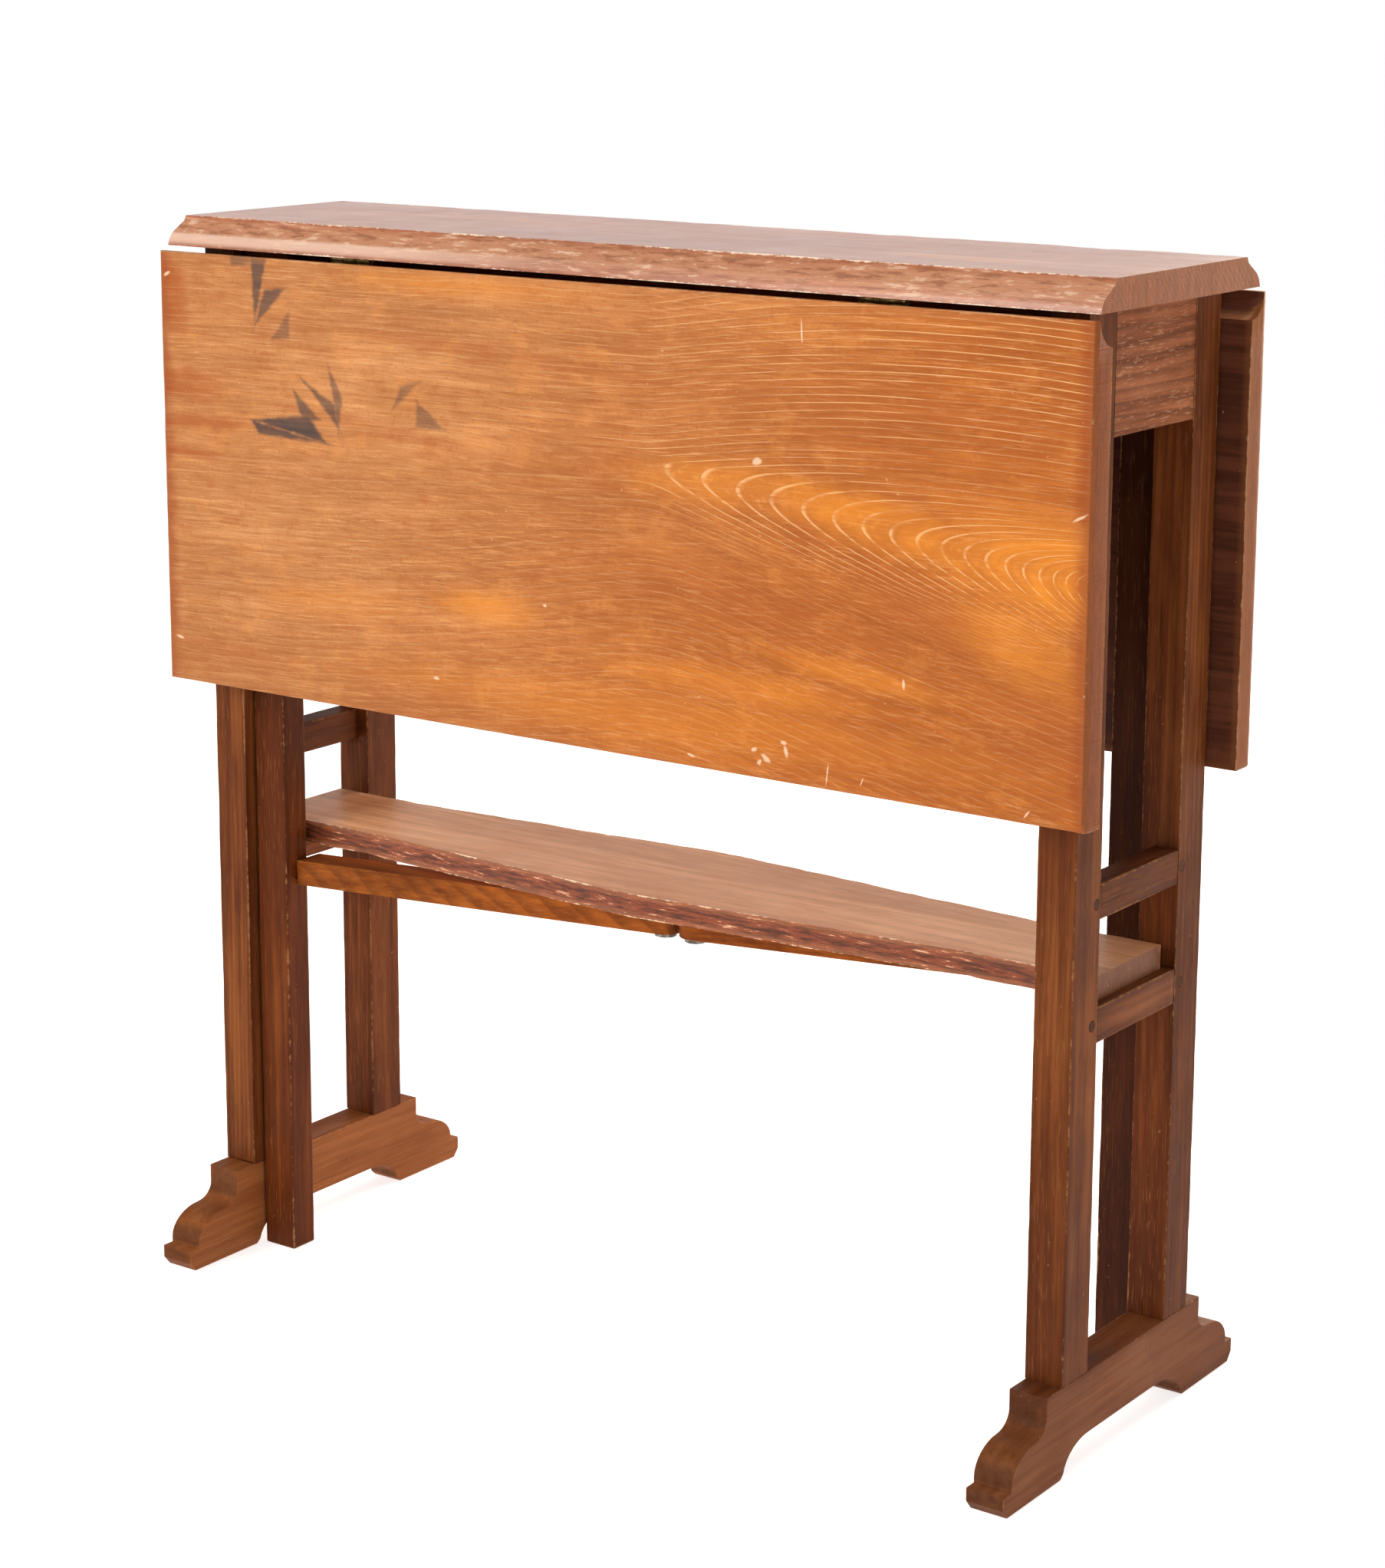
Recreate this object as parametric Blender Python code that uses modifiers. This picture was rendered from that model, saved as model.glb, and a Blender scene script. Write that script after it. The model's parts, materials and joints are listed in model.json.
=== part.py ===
"""Sutherland folding table: a narrow fixed top on two trestle ends, a low shelf between them,
two drop leaves on rule joints and back-flap hinges, and two swinging gates that carry the
raised leaves.

Metres, +Z up. The origin is on the floor under the middle of the table. The table is long
along X; leaf and gate "front" are on the -Y side. The model stands closed, leaves hanging.
"""

from math import acos, asin, atan2, cos, degrees, pi, radians, sin, tan

import bmesh
import bpy
from mathutils import Vector

# Fit
GAP = 0.0003                    # between pieces that touch
RUNNING = 0.0008                # between pieces that pass each other as they turn

# Fixed top
HEIGHT = 0.710
TOP_HALF_LENGTH = 0.348
TOP_THICKNESS = 0.0187
TOP_UNDERSIDE = HEIGHT - TOP_THICKNESS

# Rule joint: a round on the top's long edges and a hollow in each leaf, both about the hinge
# line. Wear has turned the step over the round into a slope
HINGE_Y = 0.082
HINGE_Z = 0.689
ROUND_RADIUS = 0.0137
HOLLOW_RADIUS = 0.0167
SLOPE_ANGLE = 31.6
SLOPE_TOP_Y = 0.0799
TOP_FLAT_Y = 0.0783
ARC_STEPS = 10

# Leaves, as they hang
LEAF_OUTER_Y = HINGE_Y + HEIGHT - HINGE_Z
LEAF_THICKNESS = 0.019
LEAF_INNER_Y = LEAF_OUTER_Y - LEAF_THICKNESS
LEAF_LIP_Z = HINGE_Z - RUNNING
LEAF_BOTTOM = 0.4015
LEAF_HALF_LENGTH = 0.3496
EASE_ALONG = 0.0018             # eased edge round the show face: across the end grain
EASE_DEEP = 0.0068              # and through the thickness
EASE_STEPS = 5

# Trestle ends
FRAME_OUTER_X = 0.3322
LEG_WIDE = 0.0256
LEG_INNER_X = FRAME_OUTER_X - LEG_WIDE
LEG_INNER_Y = 0.0476
LEG_OUTER_Y = 0.0779
RAIL_THICKNESS = 0.0172
RAIL_INNER_X = FRAME_OUTER_X - RAIL_THICKNESS
TOP_RAIL_BOTTOM = 0.617
MID_RAIL = (0.3365, 0.358)
SHELF_RAIL = (0.262, 0.284)
TENON_X = (0.3190, 0.3270)
TENON_END_Y = 0.0655
TENON_SHOULDER = 0.0035
FOOT_TENON_X = (0.3135, 0.3253)
FOOT_TENON_Y = (0.0520, 0.0735)
FOOT_TENON_BOTTOM = 0.0335
PEG_RADIUS = 0.0032
PEG_INNER_X = 0.3160
PEG_PLACES = {"mid": (0.0523, 0.3470), "shelf": (0.0544, 0.2743)}

# Feet
FOOT_TOP = 0.0585
FOOT_LEDGE_Y = 0.0955
TOE_SHOULDER_Z = 0.046
TOE_NECK = (0.109, 0.0356)
TOE_NOSE = (0.1345, 0.018)
TOE_STEP_Z = 0.0145
TOE_BLOCK_Y = 0.143
TOE_CHAMFER = (0.005, 0.006)
ARCH_CENTRE_Y = 0.045
ARCH_REACH = 0.0285
ARCH_RISE = 0.0188
ARCH_PAD_Y = 0.0765
ARCH_PAD_RISE = 0.003

# Shelf
SHELF_TOP = 0.2998
SHELF_UNDERSIDE = SHELF_RAIL[1] + GAP
SHELF_HALF_LENGTH = 0.326
SHELF_NECK_X = 0.240
SHELF_END_Y = 0.0402
SHELF_NECK_Y = 0.041
SHELF_MIDDLE_Y = 0.0585

# Bearer under the top, which holds the gates' upper pivots
BEARER_BOTTOM = 0.672
BEARER_HALF_WIDTH = 0.030

# Gates
GATE_PIVOT_X = 0.012
GATE_LEG_X = (0.2785, 0.3048)
GATE_LEG_Y = (0.0485, 0.0700)
GATE_STANDS_OUT = {"front": 0.0, "back": 0.0105}    # how far a gate's leg stands out from shut
GATE_LEG_TOP = TOP_UNDERSIDE - RUNNING
ARM_HALF_WIDTH = 0.011
ARM_FACE_Y = 0.0595             # outer face of an arm where it meets its leg
ARM_LEVELS = {"lower": (0.2595, 0.2765), "upper": (0.652, 0.669)}
ARM_TENON_Y = (0.0510, 0.0578)
ARM_TENON_LENGTH = 0.016
ARM_TENON_SHOULDER = 0.0025
PIN_SHANK = 0.004
PIN_COLLAR = 0.0075
PIN_HEAD_DEEP = 0.0030
PIN_GRIP = 0.009                # how far a pivot pin stands in the shelf or the bearer

# Back-flap hinges
HINGE_PLACES = {"left": -0.200, "right": 0.200}
HINGE_HALF_WIDTH = 0.016
KNUCKLE_RADIUS = 0.0028
KNUCKLE_HALF = 0.0052           # half the middle knuckle's width
HINGE_PIN_RADIUS = 0.0012
FLAP_THICKNESS = 0.0016
FIXED_FLAP_LENGTH = 0.028
LEAF_FLAP_LENGTH = 0.042
FIXED_FLAP_LIFT = TOP_UNDERSIDE - GAP - FLAP_THICKNESS - HINGE_Z
LEAF_FLAP_LIFT = LEAF_INNER_Y - GAP - FLAP_THICKNESS - HINGE_Y
SCREW_SHANK = 0.0014
SCREW_HEAD = 0.0031
SCREW_LENGTH = 0.0125
SCREW_POINT = 0.003
FIXED_SCREWS = {"screw": (0.0, 0.018)}
LEAF_SCREWS = {"screw_1": (-0.010, 0.032), "screw_2": (0.010, 0.032)}

ROUND_SIDES = 20
SCREW_SIDES = 12

WOODS = {
    "top": (0.46, 0.27, 0.19),
    "leaf": (0.49, 0.20, 0.055),
    "frame": (0.20, 0.085, 0.035),
    "shelf": (0.40, 0.22, 0.14),
    "arm": (0.36, 0.13, 0.035),
}
METALS = {"hinge": (0.30, 0.24, 0.16), "pin": (0.23, 0.22, 0.21)}


def clear_scene():
    """Empty the file and make one collection for the table and one for its cutters."""
    for old in list(bpy.data.objects):
        bpy.data.objects.remove(old, do_unlink=True)
    collections = []
    for name in ("folding_table", "cutters"):
        collection = bpy.data.collections.new(name)
        bpy.context.scene.collection.children.link(collection)
        collections.append(collection)
    return collections


TABLE, CUTTERS = clear_scene()


def material_for(name, kind):
    """One Principled material for each piece, in its wood's or metal's colour."""
    metal = kind in METALS
    colour = METALS[kind] if metal else WOODS[kind]
    material = bpy.data.materials.new(name)
    material.use_nodes = True
    shader = material.node_tree.nodes["Principled BSDF"]
    shader.inputs["Base Color"].default_value = (*colour, 1.0)
    shader.inputs["Roughness"].default_value = 0.35 if metal else 0.42
    shader.inputs["Metallic"].default_value = 1.0 if metal else 0.0
    return material


def finish(thing, kind, parent):
    """Give a piece its material and hang it on its joint's empty, if it moves."""
    thing.data.materials.clear()
    thing.data.materials.append(material_for(thing.name, kind))
    if parent is not None:
        thing.parent = parent
        thing.matrix_parent_inverse = parent.matrix_world.inverted()
    return thing


def into(collection, thing):
    """Move an object to one collection only."""
    for old in list(thing.users_collection):
        old.objects.unlink(thing)
    collection.objects.link(thing)
    return thing


def as_cutter(thing):
    """Mark an object as a guide that shapes others and is not itself a piece."""
    into(CUTTERS, thing)
    thing.hide_render = True
    thing.display_type = "WIRE"
    return thing


def block(name, low, high):
    """A rectangular block between two opposite corners."""
    low = Vector(low)
    high = Vector(high)
    bpy.ops.mesh.primitive_cube_add(size=1.0, location=(low + high) / 2)
    thing = bpy.context.object
    thing.name = name
    size = high - low
    for vertex in thing.data.vertices:
        vertex.co = [vertex.co[i] * size[i] for i in range(3)]
    return into(TABLE, thing)


def outline(name, points, low, high, along="X"):
    """A flat outline, (y, z) along X or (x, y) along Z, drawn out from low to high."""
    curve = bpy.data.curves.new(name, "CURVE")
    curve.dimensions = "2D"
    curve.fill_mode = "BOTH"
    curve.extrude = (high - low) / 2
    spline = curve.splines.new("POLY")
    spline.points.add(len(points) - 1)
    for point, (u, v) in zip(spline.points, points):
        point.co = (u, v, 0.0, 1.0)
    spline.use_cyclic_u = True
    guide = bpy.data.objects.new(name + "_outline", curve)
    TABLE.objects.link(guide)
    middle = (low + high) / 2
    if along == "X":
        guide.rotation_euler = (pi / 2, 0.0, pi / 2)
        guide.location = (middle, 0.0, 0.0)
    else:
        guide.location = (0.0, 0.0, middle)
    bpy.context.view_layer.update()
    drawn = guide.evaluated_get(bpy.context.evaluated_depsgraph_get())
    mesh = bpy.data.meshes.new_from_object(drawn)
    shape = bmesh.new()
    shape.from_mesh(mesh)
    bmesh.ops.remove_doubles(shape, verts=shape.verts, dist=0.00001)
    bmesh.ops.dissolve_limit(shape, angle_limit=radians(0.1), verts=shape.verts, edges=shape.edges)
    bmesh.ops.recalc_face_normals(shape, faces=shape.faces)
    shape.to_mesh(mesh)
    shape.free()
    thing = bpy.data.objects.new(name, mesh)
    thing.matrix_world = guide.matrix_world
    bpy.data.objects.remove(guide, do_unlink=True)
    TABLE.objects.link(thing)
    return thing


def turned(name, profile, place, direction, sides=ROUND_SIDES):
    """A turned piece: (radius, distance along direction) pairs, from its far end to its near end."""
    mesh = bpy.data.meshes.new(name)
    points = [(radius, 0.0, along) for radius, along in profile]
    mesh.from_pydata(points, [(i, i + 1) for i in range(len(points) - 1)], [])
    thing = bpy.data.objects.new(name, mesh)
    TABLE.objects.link(thing)
    thing.location = place
    thing.rotation_mode = "QUATERNION"
    thing.rotation_quaternion = Vector((0.0, 0.0, 1.0)).rotation_difference(Vector(direction))
    screw = thing.modifiers.new("turn", "SCREW")
    screw.steps = sides
    screw.render_steps = sides
    screw.use_merge_vertices = True
    screw.merge_threshold = 0.00001
    screw.use_smooth_shade = True
    return thing


def rod(name, radius, place, direction, length, sides=ROUND_SIDES):
    """A plain round rod that starts at place."""
    profile = [(0.0, length), (radius, length), (radius, 0.0), (0.0, 0.0)]
    return turned(name, profile, place, direction, sides)


def cut(thing, cutter, operation="DIFFERENCE"):
    """Cut one shape out of a piece, or join one to it."""
    as_cutter(cutter)
    boolean = thing.modifiers.new(cutter.name, "BOOLEAN")
    boolean.operation = operation
    boolean.solver = "EXACT"
    boolean.object = cutter
    return thing


def grown(low, high, by):
    """The corners of a block grown by the same amount on every side."""
    return ([a - by for a in low], [b + by for b in high])


def span(first, second):
    """The two values in rising order."""
    return (min(first, second), max(first, second))


def joint_empty(name, place):
    """The empty on a joint's axis that a moving body's pieces hang on."""
    empty = bpy.data.objects.new(name, None)
    empty.location = place
    empty.empty_display_size = 0.03
    TABLE.objects.link(empty)
    bpy.context.view_layer.update()
    return empty


def arc(centre, radius, start, stop, steps):
    """Points on a circle, or on an ellipse if radius is a pair, between two angles in degrees."""
    across, up = radius if isinstance(radius, tuple) else (radius, radius)
    angles = [radians(start + (stop - start) * i / steps) for i in range(steps + 1)]
    return [(centre[0] + across * cos(a), centre[1] + up * sin(a)) for a in angles]


def mirrored(points):
    """A half outline made whole by its reflection in the first axis' zero."""
    return points + [(-u, v) for u, v in reversed(points)]


# Hinges

def flap_outline(lift, length):
    """A flap's section, as (distance from the pin, height over the pin): plate and knuckle."""
    upper = lift + FLAP_THICKNESS
    first = degrees(asin(upper / KNUCKLE_RADIUS))
    last = 360 + degrees(asin(lift / KNUCKLE_RADIUS))
    knuckle = arc((0.0, 0.0), KNUCKLE_RADIUS, first, last, ROUND_SIDES)
    return [(length, lift), (length, upper)] + knuckle


def flap_point(side, on_leaf, along, height):
    """Where a flap's section point lies as (y, z), with the leaf hanging."""
    if on_leaf:
        return (side * (HINGE_Y + height), HINGE_Z - along)
    return (side * (HINGE_Y - along), HINGE_Z + height)


def screw_profile(slack):
    """A countersunk wood screw, from its point to its head, or its hole if slack is not zero."""
    sink = FLAP_THICKNESS
    return [
        (0.0, SCREW_LENGTH + slack),
        (SCREW_SHANK + slack, SCREW_LENGTH - SCREW_POINT),
        (SCREW_SHANK + slack, sink),
        (SCREW_HEAD + slack, 0.0),
        (SCREW_HEAD + slack, -slack),
        (0.0, -slack),
    ] if slack else [
        (0.0, SCREW_LENGTH),
        (SCREW_SHANK, SCREW_LENGTH - SCREW_POINT),
        (SCREW_SHANK, sink),
        (SCREW_HEAD, 0.0),
        (0.0, 0.0),
    ]


def flap(name, side, centre_x, on_leaf, wood, screws, parent):
    """One flap of a hinge with its screws; the screw holes go on into the wood behind it."""
    lift = LEAF_FLAP_LIFT if on_leaf else FIXED_FLAP_LIFT
    length = LEAF_FLAP_LENGTH if on_leaf else FIXED_FLAP_LENGTH
    points = [flap_point(side, on_leaf, u, w) for u, w in flap_outline(lift, length)]
    plate = outline(name, points, centre_x - HINGE_HALF_WIDTH, centre_x + HINGE_HALF_WIDTH)
    clear = KNUCKLE_RADIUS + GAP
    if on_leaf:
        notches = [(-KNUCKLE_HALF - GAP, KNUCKLE_HALF + GAP)]
    else:
        notches = [(-HINGE_HALF_WIDTH - GAP, -KNUCKLE_HALF), (KNUCKLE_HALF, HINGE_HALF_WIDTH + GAP)]
    for number, (low, high) in enumerate(notches):
        corner = (centre_x + low, side * HINGE_Y - clear, HINGE_Z - clear)
        opposite = (centre_x + high, side * HINGE_Y + clear, HINGE_Z + clear)
        cut(plate, block(f"{name}_notch_{number}", corner, opposite))
    start = (centre_x - HINGE_HALF_WIDTH - GAP, side * HINGE_Y, HINGE_Z)
    bore = rod(name + "_bore", HINGE_PIN_RADIUS + GAP, start, (1, 0, 0), 2 * (HINGE_HALF_WIDTH + GAP))
    cut(plate, bore)
    inward = (0, side, 0) if on_leaf else (0, 0, 1)
    for screw_name, (across, along) in screws.items():
        y, z = flap_point(side, on_leaf, along, lift)
        place = (centre_x + across, y, z)
        full_name = name.replace("_flap", "_") + screw_name
        screw = turned(full_name, screw_profile(0.0), place, inward, SCREW_SIDES)
        finish(screw, "hinge", parent)
        hole = turned(full_name + "_hole", screw_profile(GAP), place, inward, SCREW_SIDES)
        cut(plate, hole)
        cut(wood, hole)
    return finish(plate, "hinge", parent)


def hinge(side, end, top, leaf, leaf_empty):
    """A back-flap hinge: a flap on the top, a flap on the leaf, the pin, and its groove."""
    name = f"hinge_{'front' if side < 0 else 'back'}_{end}"
    centre_x = HINGE_PLACES[end]
    flap(name + "_top_flap", side, centre_x, False, top, FIXED_SCREWS, None)
    flap(name + "_leaf_flap", side, centre_x, True, leaf, LEAF_SCREWS, leaf_empty)
    start = (centre_x - HINGE_HALF_WIDTH, side * HINGE_Y, HINGE_Z)
    pin = rod(name + "_pin", HINGE_PIN_RADIUS, start, (1, 0, 0), 2 * HINGE_HALF_WIDTH)
    finish(pin, "hinge", None)
    groove_half = HINGE_HALF_WIDTH + 2 * GAP
    start = (centre_x - groove_half, side * HINGE_Y, HINGE_Z)
    cut(top, rod(name + "_groove", KNUCKLE_RADIUS + GAP, start, (1, 0, 0), 2 * groove_half))


# Top and leaves

def top_outline():
    """The fixed top's section: flat, then a slope that runs into a round down each long edge."""
    first = 90 - SLOPE_ANGLE
    last = degrees(asin((TOP_UNDERSIDE - HINGE_Z) / ROUND_RADIUS))
    edge = arc((HINGE_Y, HINGE_Z), ROUND_RADIUS, first, last, ARC_STEPS)
    slope_top_z = edge[0][1] + (edge[0][0] - SLOPE_TOP_Y) * tan(radians(SLOPE_ANGLE))
    return mirrored([(TOP_FLAT_Y, HEIGHT), (SLOPE_TOP_Y, slope_top_z)] + edge)


def leaf_outline(side):
    """A hanging leaf's section, with the hollow that turns about the top's round."""
    first = -degrees(asin((HINGE_Z - LEAF_LIP_Z) / HOLLOW_RADIUS))
    last = -degrees(acos((LEAF_INNER_Y - HINGE_Y) / HOLLOW_RADIUS))
    hollow = arc((HINGE_Y, HINGE_Z), HOLLOW_RADIUS, first, last, ARC_STEPS)
    points = [(LEAF_OUTER_Y, LEAF_BOTTOM), (LEAF_OUTER_Y, LEAF_LIP_Z)] + hollow
    return [(side * y, z) for y, z in points + [(LEAF_INNER_Y, LEAF_BOTTOM)]]


def easing(edge, face, along_sign, face_sign):
    """The waste outside an eased edge: edge and face are where the two flats would meet."""
    reach = 0.004
    centre = (edge - along_sign * EASE_ALONG, face - face_sign * EASE_DEEP)
    curve = [
        (centre[0] + along_sign * EASE_ALONG * cos(t), centre[1] + face_sign * EASE_DEEP * sin(t))
        for t in [pi / 2 * i / EASE_STEPS for i in range(EASE_STEPS + 1)]
    ]
    beyond_edge = edge + along_sign * reach
    beyond_face = face + face_sign * reach
    return curve + [(curve[-1][0], beyond_face), (beyond_edge, beyond_face), (beyond_edge, curve[0][1])]


def leaf_board(side, empty):
    """One drop leaf, its show face eased along both ends and the bottom edge."""
    name = f"leaf_{'front' if side < 0 else 'back'}"
    board = outline(name, leaf_outline(side), -LEAF_HALF_LENGTH, LEAF_HALF_LENGTH)
    margin = 0.005
    for end in (-1, 1):
        waste = easing(end * LEAF_HALF_LENGTH, side * LEAF_OUTER_Y, end, side)
        cut(board, outline(f"{name}_ease_{end}", waste, LEAF_BOTTOM - margin, HEIGHT, along="Z"))
    waste = [(y, z) for z, y in easing(LEAF_BOTTOM, side * LEAF_OUTER_Y, -1, side)]
    reach = LEAF_HALF_LENGTH + margin
    cut(board, outline(f"{name}_ease_bottom", waste, -reach, reach))
    return finish(board, "leaf", empty)


# Trestle ends

def foot_outline():
    """A foot's section: ledge, ogee toe, toe block, chamfer, and the arch underneath."""
    neck_y, neck_z = TOE_NECK
    nose_y, nose_z = TOE_NOSE
    hollow = arc((neck_y, TOE_SHOULDER_Z), (neck_y - FOOT_LEDGE_Y, TOE_SHOULDER_Z - neck_z), 180, 270, 6)
    swell = arc((neck_y, nose_z), (nose_y - neck_y, neck_z - nose_z), 90, 0, 8)
    start = degrees(asin(ARCH_PAD_RISE / ARCH_RISE))
    arch = arc((ARCH_CENTRE_Y, 0.0), (ARCH_REACH, ARCH_RISE), start, 90, 7)
    half = [(FOOT_LEDGE_Y, FOOT_TOP)] + hollow + swell[1:]
    half += [(nose_y, TOE_STEP_Z), (TOE_BLOCK_Y, TOE_STEP_Z), (TOE_BLOCK_Y, TOE_CHAMFER[1])]
    half += [(TOE_BLOCK_Y - TOE_CHAMFER[0], 0.0), (ARCH_PAD_Y, 0.0)] + arch
    return mirrored(half)


def tenon(rail, leg, low, high):
    """Join a tenon to a rail and cut its mortise in the leg."""
    cut(leg, block(f"{leg.name}_mortise_{rail.name}", *grown(low, high, GAP)))
    cut(rail, block(f"{rail.name}_tenon_{leg.name}", low, high), "UNION")


def rail_between(name, end, levels, legs):
    """A rail of a trestle end, flush with the legs' outer faces and tenoned into both."""
    x_low, x_high = span(end * RAIL_INNER_X, end * (FRAME_OUTER_X - GAP))
    reach = LEG_INNER_Y - GAP
    rail = block(name, (x_low, -reach, levels[0]), (x_high, reach, levels[1]))
    tenon_x = span(end * TENON_X[0], end * TENON_X[1])
    bottom = levels[0] + TENON_SHOULDER
    top = levels[1] - TENON_SHOULDER
    for side, leg in legs.items():
        tenon_y = span(side * (reach - TENON_SHOULDER), side * TENON_END_Y)
        tenon(rail, leg, (tenon_x[0], tenon_y[0], bottom), (tenon_x[1], tenon_y[1], top))
    return finish(rail, "frame", None)


def peg(name, end, side, level, leg, rail):
    """A wooden peg driven through a leg and the tenon inside it."""
    y, z = PEG_PLACES[level]
    place = (end * PEG_INNER_X, side * y, z)
    length = FRAME_OUTER_X - PEG_INNER_X
    pin = rod(name, PEG_RADIUS, place, (end, 0, 0), length)
    finish(pin, "frame", None)
    place = (end * (PEG_INNER_X - GAP), side * y, z)
    hole = rod(name + "_hole", PEG_RADIUS + GAP, place, (end, 0, 0), length + 4 * GAP)
    cut(leg, hole)
    cut(rail, hole)


def trestle(end):
    """One end of the table: a foot, two legs, three rails and four pegs."""
    word = "left" if end < 0 else "right"
    x_low, x_high = span(end * LEG_INNER_X, end * FRAME_OUTER_X)
    foot = outline("foot_" + word, foot_outline(), x_low, x_high)
    legs = {}
    for side in (-1, 1):
        name = f"leg_{word}_{'front' if side < 0 else 'back'}"
        y_low, y_high = span(side * LEG_INNER_Y, side * LEG_OUTER_Y)
        leg = block(name, (x_low, y_low, FOOT_TOP + GAP), (x_high, y_high, TOP_UNDERSIDE - GAP))
        tenon_x = span(end * FOOT_TENON_X[0], end * FOOT_TENON_X[1])
        tenon_y = span(side * FOOT_TENON_Y[0], side * FOOT_TENON_Y[1])
        low = (tenon_x[0], tenon_y[0], FOOT_TENON_BOTTOM)
        high = (tenon_x[1], tenon_y[1], FOOT_TOP + TENON_SHOULDER)
        tenon(leg, foot, low, high)
        legs[side] = finish(leg, "frame", None)
    finish(foot, "frame", None)
    rail_between("top_rail_" + word, end, (TOP_RAIL_BOTTOM, TOP_UNDERSIDE - GAP), legs)
    for level, levels in (("mid", MID_RAIL), ("shelf", SHELF_RAIL)):
        rail = rail_between(f"{level}_rail_{word}", end, levels, legs)
        for side, leg in legs.items():
            where = "front" if side < 0 else "back"
            peg(f"peg_{level}_{word}_{where}", end, side, level, leg, rail)


# Shelf, bearer and gates

def shelf_board():
    """The shelf, widest in the middle, with a narrow neck that passes between the legs."""
    half = [
        (SHELF_HALF_LENGTH, SHELF_END_Y),
        (SHELF_NECK_X, SHELF_NECK_Y),
        (0.0, SHELF_MIDDLE_Y),
        (-SHELF_NECK_X, SHELF_NECK_Y),
        (-SHELF_HALF_LENGTH, SHELF_END_Y),
    ]
    points = half + [(x, -y) for x, y in reversed(half)]
    return finish(outline("shelf", points, SHELF_UNDERSIDE, SHELF_TOP, along="Z"), "shelf", None)


def bearer_board():
    """The long bearer under the top, between the two top rails."""
    reach = RAIL_INNER_X - GAP
    low = (-reach, -BEARER_HALF_WIDTH, BEARER_BOTTOM)
    high = (reach, BEARER_HALF_WIDTH, TOP_UNDERSIDE - GAP)
    return finish(block("top_bearer", low, high), "frame", None)


def arm_outline(side, out):
    """A gate arm in plan: rounded about its pivot, running out to its leg at a slant."""
    run = GATE_LEG_X[0] - GATE_PIVOT_X
    slant = atan2(ARM_FACE_Y + out - ARM_HALF_WIDTH, run)
    end_x = GATE_LEG_X[0] - GAP
    middle_y = tan(slant) * (end_x - GATE_PIVOT_X)
    half_y = ARM_HALF_WIDTH / cos(slant)
    turn = degrees(slant)
    round_end = arc((GATE_PIVOT_X, 0.0), ARM_HALF_WIDTH, turn + 90, turn + 270, 12)
    points = [(end_x, middle_y + half_y)] + round_end + [(end_x, middle_y - half_y)]
    return [(side * x, side * y) for x, y in points]


def pivot_pin(name, side, levels, seat_z):
    """A shouldered steel pin: head under the arm, collar over it, shank up into its seat."""
    bottom, top = levels
    profile = [
        (0.0, seat_z + PIN_GRIP - bottom),
        (PIN_SHANK, seat_z + PIN_GRIP - bottom),
        (PIN_SHANK, seat_z - GAP - bottom),
        (PIN_COLLAR, seat_z - GAP - bottom),
        (PIN_COLLAR, top + GAP - bottom),
        (PIN_SHANK, top + GAP - bottom),
        (PIN_SHANK, -GAP),
        (PIN_COLLAR, -GAP),
        (PIN_COLLAR, -PIN_HEAD_DEEP),
        (0.0, -PIN_HEAD_DEEP),
    ]
    return finish(turned(name, profile, (side * GATE_PIVOT_X, 0.0, bottom), (0, 0, 1)), "pin", None)


def gate(side, shelf, bearer):
    """One swinging gate: a leg and two arms that turn on pins under the bearer and the shelf."""
    word = "front" if side < 0 else "back"
    out = GATE_STANDS_OUT[word]
    empty = joint_empty(f"gate_{word}_pivot", (side * GATE_PIVOT_X, 0.0, 0.0))
    x_low, x_high = span(side * GATE_LEG_X[0], side * GATE_LEG_X[1])
    y_low, y_high = span(side * (GATE_LEG_Y[0] + out), side * (GATE_LEG_Y[1] + out))
    leg = block(f"gate_{word}_leg", (x_low, y_low, 0.0), (x_high, y_high, GATE_LEG_TOP))
    seats = {"lower": (shelf, SHELF_UNDERSIDE), "upper": (bearer, BEARER_BOTTOM)}
    for level, (bottom, top) in ARM_LEVELS.items():
        name = f"gate_{word}_{level}_arm"
        arm = outline(name, arm_outline(side, out), bottom, top, along="Z")
        tenon_x = span(side * (GATE_LEG_X[0] - ARM_TENON_SHOULDER), side * (GATE_LEG_X[0] + ARM_TENON_LENGTH))
        tenon_y = span(side * (ARM_TENON_Y[0] + out), side * (ARM_TENON_Y[1] + out))
        low = (tenon_x[0], tenon_y[0], bottom + ARM_TENON_SHOULDER)
        high = (tenon_x[1], tenon_y[1], top - ARM_TENON_SHOULDER)
        tenon(arm, leg, low, high)
        seat, seat_z = seats[level]
        pivot_pin(f"gate_{word}_{level}_pin", side, (bottom, top), seat_z)
        low_end = (side * GATE_PIVOT_X, 0.0, bottom - GAP)
        cut(arm, rod(name + "_bore", PIN_SHANK + GAP, low_end, (0, 0, 1), top - bottom + 2 * GAP))
        low_end = (side * GATE_PIVOT_X, 0.0, seat_z - GAP)
        cut(seat, rod(name + "_seat", PIN_SHANK + GAP, low_end, (0, 0, 1), PIN_GRIP + 2 * GAP))
        finish(arm, "arm", empty)
    finish(leg, "frame", empty)


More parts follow.
